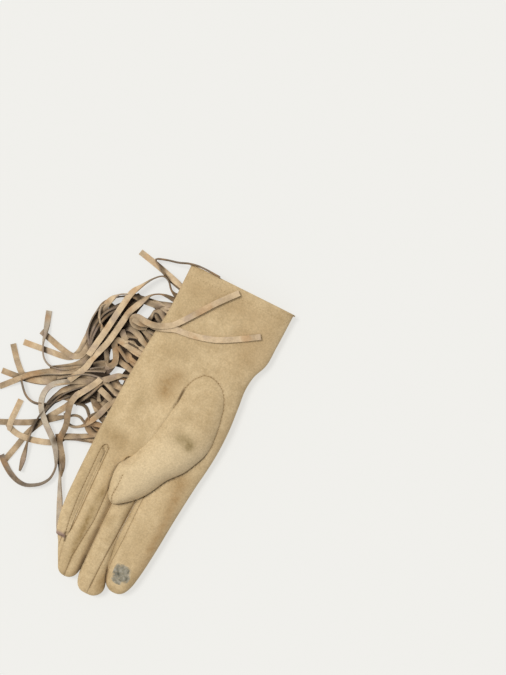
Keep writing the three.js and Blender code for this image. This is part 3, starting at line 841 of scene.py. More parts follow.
def brushed_suede(name, light, dark, pale, lining, olive, brown, seam, deep):
    """Faux suede: short brushed fibres that lie in patches of a few millimetres, so the colour shifts
    softly, and a matt face with a faint sheen along its curves. Dirt, stains and wear lie over it where
    they are painted, and so do painted shade along seams, valleys and creases and a painted highlight
    on the raised thumb."""
    material, tree = new_material(name)
    place = add(tree, "TexCoord").outputs["Object"]
    painted = {
        mark: add(tree, "Attribute", {"attribute_name": mark}).outputs["Fac"]
        for mark in ("pale", "lining", "brown", "soil_and_shade", "seam", "deep")
    }
    patches = add(tree, "TexNoise", {"Scale": 70.0, "Detail": 3.0, "Roughness": 0.55},
                  {"Vector": place})
    brushed = add(tree, "TexNoise", {"Scale": 260.0, "Detail": 4.0, "Roughness": 0.6},
                  {"Vector": place})
    nap = add(tree, "TexNoise", {"Scale": 760.0, "Detail": 5.0, "Roughness": 0.68},
              {"Vector": place})
    lie = add(tree, "Mix", {"data_type": "FLOAT", 0: 0.5},
              {2: patches.outputs["Fac"], 3: brushed.outputs["Fac"]})
    lie = add(tree, "MapRange",
              {"From Min": 0.34, "From Max": 0.66, "To Min": 0.0, "To Max": 1.0},
              {"Value": lie.outputs[0]})
    tone = add(tree, "Mix", {"data_type": "RGBA", 6: linear(dark), 7: linear(light)},
               {0: lie.outputs[0]})
    # Rubbed wear and a painted highlight lighten it
    pale_and_highlight_amount = add(tree, "Math", {"operation": "MULTIPLY", 1: 0.55}, {0: painted["pale"]})
    rubbed_and_highlighted = add(tree, "Mix", {"data_type": "RGBA", 7: linear(pale)},
                      {0: pale_and_highlight_amount.outputs[0], 6: tone.outputs[2]})
    backed = add(tree, "Mix", {"data_type": "RGBA", 7: linear(lining)},
                 {0: painted["lining"], 6: rubbed_and_highlighted.outputs[2]})
    soil_and_shade_tone = add(tree, "Mix", {"data_type": "RGBA", 6: linear(olive), 7: linear(brown)},
                    {0: painted["brown"]})
    # The stains and the painted shade that share one mark lie unevenly over the fibres
    patchy = add(tree, "MapRange",
                 {"From Min": 0.35, "From Max": 0.65, "To Min": 0.55, "To Max": 1.15},
                 {"Value": brushed.outputs["Fac"]})
    soil_and_shade_amount = add(tree, "Math", {"operation": "MULTIPLY", "use_clamp": True},
                      {0: painted["soil_and_shade"], 1: patchy.outputs[0]})
    soiled_and_shaded = add(tree, "Mix", {"data_type": "RGBA"},
                 {0: soil_and_shade_amount.outputs[0], 6: backed.outputs[2], 7: soil_and_shade_tone.outputs[2]})
    grain = add(tree, "MapRange",
                {"From Min": 0.3, "From Max": 0.7, "To Min": 0.83, "To Max": 1.15},
                {"Value": nap.outputs["Fac"]})
    grained = add(tree, "VectorMath", {"operation": "SCALE"},
                  {0: soiled_and_shaded.outputs[2], 3: grain.outputs[0]})
    # Dirt on the seams, and painted shade in the valleys and creases
    seam_amount = add(tree, "Math", {"operation": "MULTIPLY", 1: 0.6}, {0: painted["seam"]})
    seamed = add(tree, "Mix", {"data_type": "RGBA", 7: linear(seam)},
                 {0: seam_amount.outputs[0], 6: grained.outputs[0]})
    # Painted shade in folds, gaps and creases
    deep_amount = add(tree, "Math", {"operation": "MULTIPLY", 1: 0.8}, {0: painted["deep"]})
    finished = add(tree, "Mix", {"data_type": "RGBA", 7: linear(deep)},
                   {0: deep_amount.outputs[0], 6: seamed.outputs[2]})
    raised = add(tree, "Mix", {"data_type": "FLOAT", 0: 0.6},
                 {2: nap.outputs["Fac"], 3: brushed.outputs["Fac"]})
    bump = add(tree, "Bump", {"Strength": 0.6, "Distance": 0.0005}, {"Height": raised.outputs[0]})
    shader = add(tree, "BsdfPrincipled", {
        "Roughness": 0.93, "Specular IOR Level": 0.18, "Sheen Weight": 0.22, "Sheen Roughness": 0.55,
        "Sheen Tint": linear("#f3e2c2"),
    }, {"Base Color": finished.outputs[2], "Normal": bump.outputs[0]})
    add(tree, "OutputMaterial", {}, {"Surface": shader.outputs[0]})
    return material


SUEDE_LIGHT, SUEDE_DARK = "#d1b991", "#baa179"
camel_suede = brushed_suede(
    "camel_faux_suede", SUEDE_LIGHT, SUEDE_DARK, pale="#dcc7a2", lining="#9d8578",
    olive="#8b7850", brown="#a07d50", seam="#7a5c38", deep="#46301c",
)


def dress(piece, node, materials):
    """Takes the place of a frame node, rides on the glove and wears its materials."""
    for material in materials:
        piece.data.materials.append(material)
    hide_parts(node)
    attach(piece, "root")


dress(palm, "palm_panel", [camel_suede])

# Back panel
# The other side of hand, wrist and fingers, cut from the same suede. The glove rests on it, so it is
# pressed flat, and its edge rounds up to the side seams and to the side strips.
BACK_COLUMNS = {"little": 10, "ring": 14, "middle": 12, "index": 20}
BACK_BRIDGE = 2


def back_puffs(x, up):
    """The resting side lifts off the surface here and there by a fraction of a millimetre."""
    return max(0.0, 0.5 * noise.noise(Vector((x * 0.05, up * 0.04, 9.3))))


def bottom_point(finger, section, angle):
    """A place on the underside of a finger."""
    x, up, z = around(section, angle)
    z += back_puffs(x, up)
    return [x, up, settle(finger, up, min(z, SEAM_HEIGHT - SEAM_GAP))]


def back_angles(finger, count):
    """From the right seam to the left seam below a finger."""
    left_seam, right_seam = seam_names(finger)
    start = STRIP_SEAM_FOOT if right_seam else 0.0
    end = -math.pi - STRIP_SEAM_FOOT if left_seam else -math.pi
    return [start + (end - start) * k / count for k in range(count + 1)]


def underside(x, up):
    """Bottom of the palm, which rises into valleys where the fingers part."""
    section = section_at(body_sections, up)
    height = pressed(section[3], bow(share_across(section, x)))
    if up <= 116:
        fingers = [section_at(rows, max(up, 96)) for rows in upper_fingers.values()]
        lowest = min(pressed(part[3], bow(share_across(part, x))) for part in fingers)
        height += ease(116, CROTCH, up) * (lowest - height)
    return height + back_puffs(x, up)


back_finger_rows = {}
for finger in GROUPS:
    angles = back_angles(finger, BACK_COLUMNS[finger])
    back_finger_rows[finger] = [
        [bottom_point(finger, section, angle) for angle in angles]
        for section in tip_to_crotch(finger)
    ]

crotch_row = []
for finger in reversed(GROUPS):
    here = [point[0] for point in back_finger_rows[finger][-1]]
    if crotch_row:
        crotch_row.append((crotch_row[-1] + here[0]) / 2)
    crotch_row += here
across = [share_across(at_crotch, x) for x in crotch_row]
across[0], across[-1] = 1.0, -1.0

back_rows = []
for section in reversed(body_sections):
    up = section[0]
    row = []
    for share in across:
        x = x_on(section, share)
        row.append([x, up, min(underside(x, up), SEAM_HEIGHT - SEAM_GAP)])
    back_rows.append(row)
meet_fingers(back_rows, [back_finger_rows[finger] for finger in reversed(GROUPS)], BACK_BRIDGE)

back = merge("back_panel_suede", [
    add_sheet("back_body", back_rows),
    *[add_sheet(f"back_{finger}", back_finger_rows[finger]) for finger in GROUPS],
])
thicken(back, WALL)


def back_soil(x, up, z):
    """Faint clouds of dirt, picked up from what the glove lay on."""
    return 0.25 * max(0.0, noise.noise(Vector((x * 0.06, up * 0.05, 3.0))))


# Darker up toward the side seam, where the back panel meets the palm panel
paint(back, "seam", lambda x, up, z: ease(4.2, 5.6, z))
paint(back, "soil_and_shade", back_soil)
paint(back, "brown", lambda x, up, z: 0.4)
dress(back, "back_panel", [camel_suede])

# Side strips between the fingers
# Each is one narrow strip of the same suede that lines the facing sides of two fingers, sewn to the
# palm panel along their tops and to the back panel along their feet, and it turns round at the crotch.
SIDE_NAMES = list(STRIP_SEAMS)
SIDE_TOP = 106.5
SIDE_THICKNESS = 0.9
SIDE_TUCK = 0.5   # at the crotch the strip passes below the palm panel
# How the points of a side spread from the palm panel's seam to the foot, closer at both ends
SIDE_SHARES = [0, 0.05, 0.14, 0.26, 0.4, 0.55, 0.7, 0.82, 0.92, 1]


def side_wall(finger, seam_name, side):
    """One side of a finger from its seam with the palm panel down to its foot."""
    rows = []
    for section in reversed([part for part in finger_sections[finger] if part[0] < SIDE_TOP]):
        up = section[0]
        start, end = angle_at(section, seam_x(seam_name, up, side)), STRIP_SEAM_FOOT
        shares = SIDE_SHARES
        if side == 2:
            start, end = math.pi - STRIP_SEAM_FOOT, start
            shares = [1 - share for share in reversed(SIDE_SHARES)]
        row = []
        for share in shares:
            angle = start + (end - start) * share
            x, _, z = uneven(section, angle)
            if math.sin(angle) > 0:
                z = above_grooves(finger, section, x, z)
                z -= seam_dip(finger, section, angle)
            z -= SIDE_TUCK * ease(CROTCH - 1.5, CROTCH + 0.5, up)
            row.append([x, up, settle(finger, up, z)])
        rows.append(row)
    return rows


def side_stain_and_shade(x, up, z):
    """The stains and painted shade, and painted shade that darkens the strip the lower it lies between
    the fingers.
    """
    return min(1.0, stain_and_shade(x, up, z) + 0.3 * ease(9, 4, z))


for place, name in enumerate(SIDE_NAMES):
    left_finger, right_finger = GROUPS[place], GROUPS[place + 1]
    strip = merge(f"{name}_suede", [
        add_sheet("left_wall", side_wall(left_finger, name, 1)),
        add_sheet("right_wall", side_wall(right_finger, name, 2)),
    ])
    thicken(strip, SIDE_THICKNESS)
    # Seam dirt with painted shade, painted shade, and stains with painted shade, as on the palm
    paint(strip, "seam", seam_dirt_and_shade)
    paint(strip, "deep", deep_shade)
    paint(strip, "soil_and_shade", side_stain_and_shade)
    paint(strip, "brown", stain_brown)
    dress(strip, name, [camel_suede])

# Thumb
# The thumb piece is cut from the same suede, folded lengthwise and closed round its tip, and sewn
# round the oval opening in the palm. It rises out of the palm and lies over it, tip on the fingers.
TOP_COLUMNS = 36
UNDER_COLUMNS = 12
# How softly its top falls to a side: round, soft by its root, and on the right
ROUND_SIDE = ROUNDNESS / 2
SOFT_SIDE = 1.15
RIGHT_SIDE = ROUND_SIDE + 0.32
SEAT = 0.45             # where it is sewn on, its sides sink this far into the palm
CREASE_DEPTH = 1.3      # and the left one this much further, in the crease beside its root
FOLD_LEAST = 13.4       # least height of its free fold
FOLD_OVER_PALM = 2.2    # the fold lies this far over the palm
FOLD_OVER_TIP = 0.9     # and this far to the right of its tip


def thumb_rims(section):
    """Height and softness of the thumb's two sides, which are free toward the tip."""
    up, left, right, _, high = section
    left_free = ease(104, 90, up)
    right_free = ease(134, 125, up)
    crease = CREASE_DEPTH * ease(146, 152, up) * ease(168, 163, up)
    left_seat = palm_height(left, up) - SEAT - crease
    right_seat = palm_height(right, up) - SEAT
    fold = min(max(FOLD_LEAST, palm_height(right - 2, up) + FOLD_OVER_PALM), (high + 13.0) / 2)
    left_rim = left_seat + left_free * (fold - left_seat)
    low = palm_height(right + 0.5, up) + FOLD_OVER_TIP
    low_fold = fold + ease(THUMB_TIP, 73, up) * (low - fold)
    right_rim = right_seat + right_free * (low_fold - right_seat)
    left_shape = ROUND_SIDE + (SOFT_SIDE - ROUND_SIDE) * ease(95, 105, up) * ease(184, 152, up)
    return left_rim, right_rim, left_shape, RIGHT_SIDE


def thumb_place(section, rims, angle):
    """On the thumb at an angle: the share across it, x, the rim's height and its softness."""
    left_rim, right_rim, left_shape, right_shape = rims
    c = math.cos(angle)
    ratio = math.copysign(abs(c) ** ROUNDNESS, c)
    blend = ease(-0.75, 0.75, ratio)
    rim = left_rim + (right_rim - left_rim) * blend
    shape = left_shape + (right_shape - left_shape) * blend
    return ratio, x_on(section, ratio), rim, shape


thumb_rows = []
for section in reversed(thumb_sections):
    up, _, _, low, high = section
    rims = thumb_rims(section)
    # The seam that closes its tip draws a line down the top
    tip_seam = -17.2 + 1.6 * ease(73, 68.4, up)
    row = []
    for k in range(TOP_COLUMNS + 1):
        ratio, x, rim, shape = thumb_place(section, rims, math.pi * (1 - k / TOP_COLUMNS))
        z = rim + (high - rim) * max(0.0, 1 - abs(ratio) ** 2.5) ** shape
        z += 0.8 * puffs(x + 40, up * 1.2) * max(0.0, 1 - ratio * ratio)
        z -= 0.5 * math.exp(-(((x - tip_seam) / 0.8) ** 2)) * ease(97, 90, up)
        row.append([x, up, z])
    for k in range(1, UNDER_COLUMNS):
        angle = -math.pi * k / UNDER_COLUMNS
        _, x, rim, _ = thumb_place(section, rims, angle)
        row.append([x, up, rim - (rim - min(low, rim - 0.1)) * abs(math.sin(angle)) ** 0.7])
    row.append(list(row[0]))
    thumb_rows.append(row)

thumb = merge("thumb_suede", [add_sheet("thumb_sleeve", thumb_rows)])
# Under its root the thumb is open to the palm
cut_out(thumb, lambda x, up, facing: up > 126 and facing < -0.2)
thicken(thumb, WALL)
thumb_seam = nearest([THUMB_SEAM_LINE], 0.9)
thumb_edge = nearest([right_edge], 0.8)
thumb_tip = nearest([THUMB_TIP_SEAM], 0.8)


def thumb_pale_highlight(x, up, z):
    """The thumb's raised length is rubbed pale and given a painted highlight, more toward the index
    finger.
    """
    _, left, right, _, _ = section_at(thumb_sections, up)
    return ease(150, 118, up) * (0.2 + 0.8 * ease(left - 1, left + 13, x))


# Dark seam lines, painted shade along the free edge and in the crease by the root, stains with painted
# shade, and rubbing with a painted highlight
paint(thumb, "seam", lambda x, up, z: max(0.7 * thumb_seam(x, up, z), 0.9 * thumb_tip(x, up, z)))
paint(thumb, "deep", lambda x, up, z: max(0.6 * thumb_edge(x, up, z), 0.9 * thumb_crease(x, up, z)))
paint(thumb, "soil_and_shade", lambda x, up, z: stain_and_shade(x, up, z) * ease(118, 124, up))
paint(thumb, "brown", stain_brown)
paint(thumb, "pale", thumb_pale_highlight)
dress(thumb, "thumb", [camel_suede])

# Turned hem
# The cuff's edge is turned in once and stitched down, so a second layer of suede lies inside the mouth.
HEM = {"depth": 6.4, "wall": 1.2, "inset": 1.8, "bulge": 0.25, "set_back": 0.4}
HEM_ROWS, HEM_COLUMNS = 6, 96
hem_rows = []
for k in range(HEM_ROWS + 1):
    up = BODY[0][0] - HEM["set_back"] - HEM["depth"] * (HEM_ROWS - k) / HEM_ROWS
    _, left, right, low, high = section_at(body_sections, up)
    inset = HEM["inset"] + HEM["bulge"] * math.sin(math.pi * k / HEM_ROWS)
    inner = (up, left + inset, right - inset, low + inset, high - inset)
    row = []
    for step in range(HEM_COLUMNS + 1):
        x, _, z = around(inner, math.pi - 2 * math.pi * step / HEM_COLUMNS)
        row.append([x, up, max(z, inset)])
    hem_rows.append(row)
hem = merge("cuff_hem_suede", [add_sheet("hem_band", hem_rows)])
thicken(hem, HEM["wall"])
paint(hem, "seam", lambda x, up, z: 0.0)
paint(hem, "soil_and_shade", lambda x, up, z: 0.2)
paint(hem, "brown", lambda x, up, z: 0.4)
dress(hem, "cuff_hem", [camel_suede])

# Touch patch
# A thin conductive print on the index fingertip, which lets a screen feel the finger. It is worn: its
# grey is broken up, darker where it is rubbed, and thins out into the suede round it.
PAD = {"x": 13.2, "up": 23.6, "wide": 18.0, "long": 19.0, "lift": 0.1, "edge_drop": 0.4,
       "wall": 0.08, "cells": 48}


def index_height(x, up):
    """Top of the index finger."""
    section = section_at(finger_sections["index"], up)
    x, up, z = around(section, angle_at(section, x))
    return z + puffs(x, up)


pad_rows = []
for i in range(PAD["cells"] + 1):
    row = []
    for j in range(PAD["cells"] + 1):
        # A square grid drawn in to a disc
        a, b = 2 * j / PAD["cells"] - 1, 2 * i / PAD["cells"] - 1
        x = PAD["x"] + PAD["wide"] / 2 * a * math.sqrt(1 - b * b / 2)
        up = PAD["up"] + PAD["long"] / 2 * b * math.sqrt(1 - a * a / 2)
        drop = PAD["edge_drop"] * max(abs(a), abs(b)) ** 6
        row.append([x, up, index_height(x, up) + PAD["lift"] - drop])
    pad_rows.append(row)
pad = merge("touch_pad_print", [add_sheet("pad_disc", pad_rows)])
thicken(pad, PAD["wall"])
# Darker rubbed places: x, up, half width, half length, turn in degrees, strength
RUBBED = [
    (9.0, 22.2, 2.3, 1.9, 0, 0.75),
    (11.6, 23.6, 0.9, 2.4, -38, 1.0),
    (17.7, 27.5, 0.6, 2.8, 5, 0.8),
    (18.8, 22.6, 1.0, 1.6, 0, 0.8),
    (15, 19.6, 1.4, 0.6, 0, 1.0),
    (17.8, 21.0, 1.6, 0.6, 0, 0.5),
    (15.4, 16.8, 0.5, 1.0, 0, 0.6),
    (9.6, 26, 0.7, 1.0, -20, 0.4),
]
# Where the print is worn through to the suede: x, up, half width, half length, turn, strength
WORN = [
    (17.4, 17.4, 1.2, 1.6, 0, 0.8),
    (19.8, 18.6, 1.2, 1.0, 0, 0.8),
    (13.6, 31.6, 1.4, 1.4, 0, 0.6),
    (20.2, 27.5, 1.0, 2.4, 0, 0.8),
    (6.4, 28.6, 1.2, 2.0, 0, 0.7),
    (6.9, 19.6, 1.6, 0.8, 0, 0.6),
]
# Where the print is left: x, up, half width, half length
PRINTED = [
    (10.6, 25.4, 5.8, 7.2),
    (14.6, 26.4, 5.6, 6.8),
    (13.2, 19.2, 5.0, 6.2),
    (17.6, 22.4, 4.4, 4.2),
]


def marks(rows, x, up):
    """How strongly a table's marks cover a place on the print."""
    total = 0.0
    for mx, mup, wide, long, turn, strength in rows:
        c, s = math.cos(math.radians(turn)), math.sin(math.radians(turn))
        a, b = (x - mx) * c - (up - mup) * s, (x - mx) * s + (up - mup) * c
        total += strength * math.exp(-((a / wide) ** 2) - (b / long) ** 2)
    return min(1.0, total)


def print_left(x, up, z):
    """How much of the print is left: full in the middle, ragged and thin toward its edge."""
    reach = min(math.hypot((x - a) / wide, (up - b) / long) for a, b, wide, long in PRINTED)
    ragged = 0.3 * noise.noise(Vector((x * 0.35, up * 0.35, 4.0)))
    ragged += 0.3 * noise.noise(Vector((x * 0.95, up * 0.95, 7.0)))
    return (1 - ease(0.5, 1.4, reach + ragged)) * (1 - 0.8 * marks(WORN, x, up))


paint(pad, "rubbed", lambda x, up, z: marks(RUBBED, x, up))
paint(pad, "left", print_left)

# The print is a coat of carbon and binder pressed into the nap. It dries to a dull dusty grey,
# and the suede's fibres break it up into specks wherever it has worn thin.
conductive, tree = new_material("worn_conductive_print")
place = add(tree, "TexCoord").outputs["Object"]
rubbed, left_on = [
    add(tree, "Attribute", {"attribute_name": mark}).outputs["Fac"]
    for mark in ("rubbed", "left")
]
speckle = add(tree, "TexNoise", {"Scale": 900.0, "Detail": 4.0, "Roughness": 0.7},
              {"Vector": place})
cloud = add(tree, "TexNoise", {"Scale": 330.0, "Detail": 3.0, "Roughness": 0.6},
            {"Vector": place})
patchy = add(tree, "MapRange", {"From Min": 0.38, "From Max": 0.62, "To Min": 0.0, "To Max": 1.0},
             {"Value": cloud.outputs["Fac"]})
grey = add(tree, "Mix", {"data_type": "RGBA", 6: linear("#807b6b"), 7: linear("#a39d8e")},
           {0: patchy.outputs[0]})
rub = add(tree, "Mix", {"data_type": "RGBA", 7: linear("#5a584c")},
          {0: rubbed, 6: grey.outputs[2]})
suede_tone = add(tree, "Mix",
                 {"data_type": "RGBA", 6: linear(SUEDE_DARK), 7: linear(SUEDE_LIGHT)},
                 {0: cloud.outputs["Fac"]})
broken = add(tree, "MapRange", {"From Min": 0.3, "From Max": 0.66, "To Min": -0.4, "To Max": 0.4},
             {"Value": speckle.outputs["Fac"]})
specked = add(tree, "Math", {"operation": "ADD", "use_clamp": True},
              {0: left_on, 1: broken.outputs[0]})
cover = add(tree, "Math", {"operation": "MULTIPLY", "use_clamp": True},
            {0: specked.outputs[0], 1: left_on})
shown = add(tree, "Mix", {"data_type": "RGBA"},
            {0: cover.outputs[0], 6: suede_tone.outputs[2], 7: rub.outputs[2]})
bump = add(tree, "Bump", {"Strength": 0.35, "Distance": 0.0003},
           {"Height": speckle.outputs["Fac"]})
shader = add(tree, "BsdfPrincipled", {"Roughness": 0.85, "Specular IOR Level": 0.2},
             {"Base Color": shown.outputs[2], "Normal": bump.outputs[0]})
add(tree, "OutputMaterial", {}, {"Surface": shader.outputs[0]})
dress(pad, "touch_pad", [conductive])

# Fringe
# Long narrow strips cut from the same suede, their ends square. Their roots are caught in the side
# seam below the little finger, on a backing tape, and they lie as they fell: flat, on edge, looped.
STRIP_WIDTH = 4.3
STRIP_WALL = 0.85
STRIP_STEP = 1.5
ROOT_TURN = math.radians(36)   # packed side by side in the seam, the strips stand a little on edge
SEAM_REACH = (-49, 4)   # a strip that starts further right and higher than this is in the seam
HIDDEN_START = 1.5      # its start goes on this far, into the seam or below the strip over it
SWAY = 9                # degrees that it turns out of its line here and there
LIFT = 0.35             # how far it rises here and there
CUP = 0.28              # how far its edges bend away
LOWEST = 0.55           # height of its middle where it lies on the table
# Two strips lie over the palm, this high, from this place on to the right and up
OVER_PALM = {"over_cuff_long": 2.4, "over_cuff_low": 1.6}
PALM_REACH = (-46, 192)
SEED_STEP = 3.7         # between the seeds of two strips
TONE_PATCH = 9          # size of the patches in which a strip's tone drifts
TONE_DRIFT = 0.4
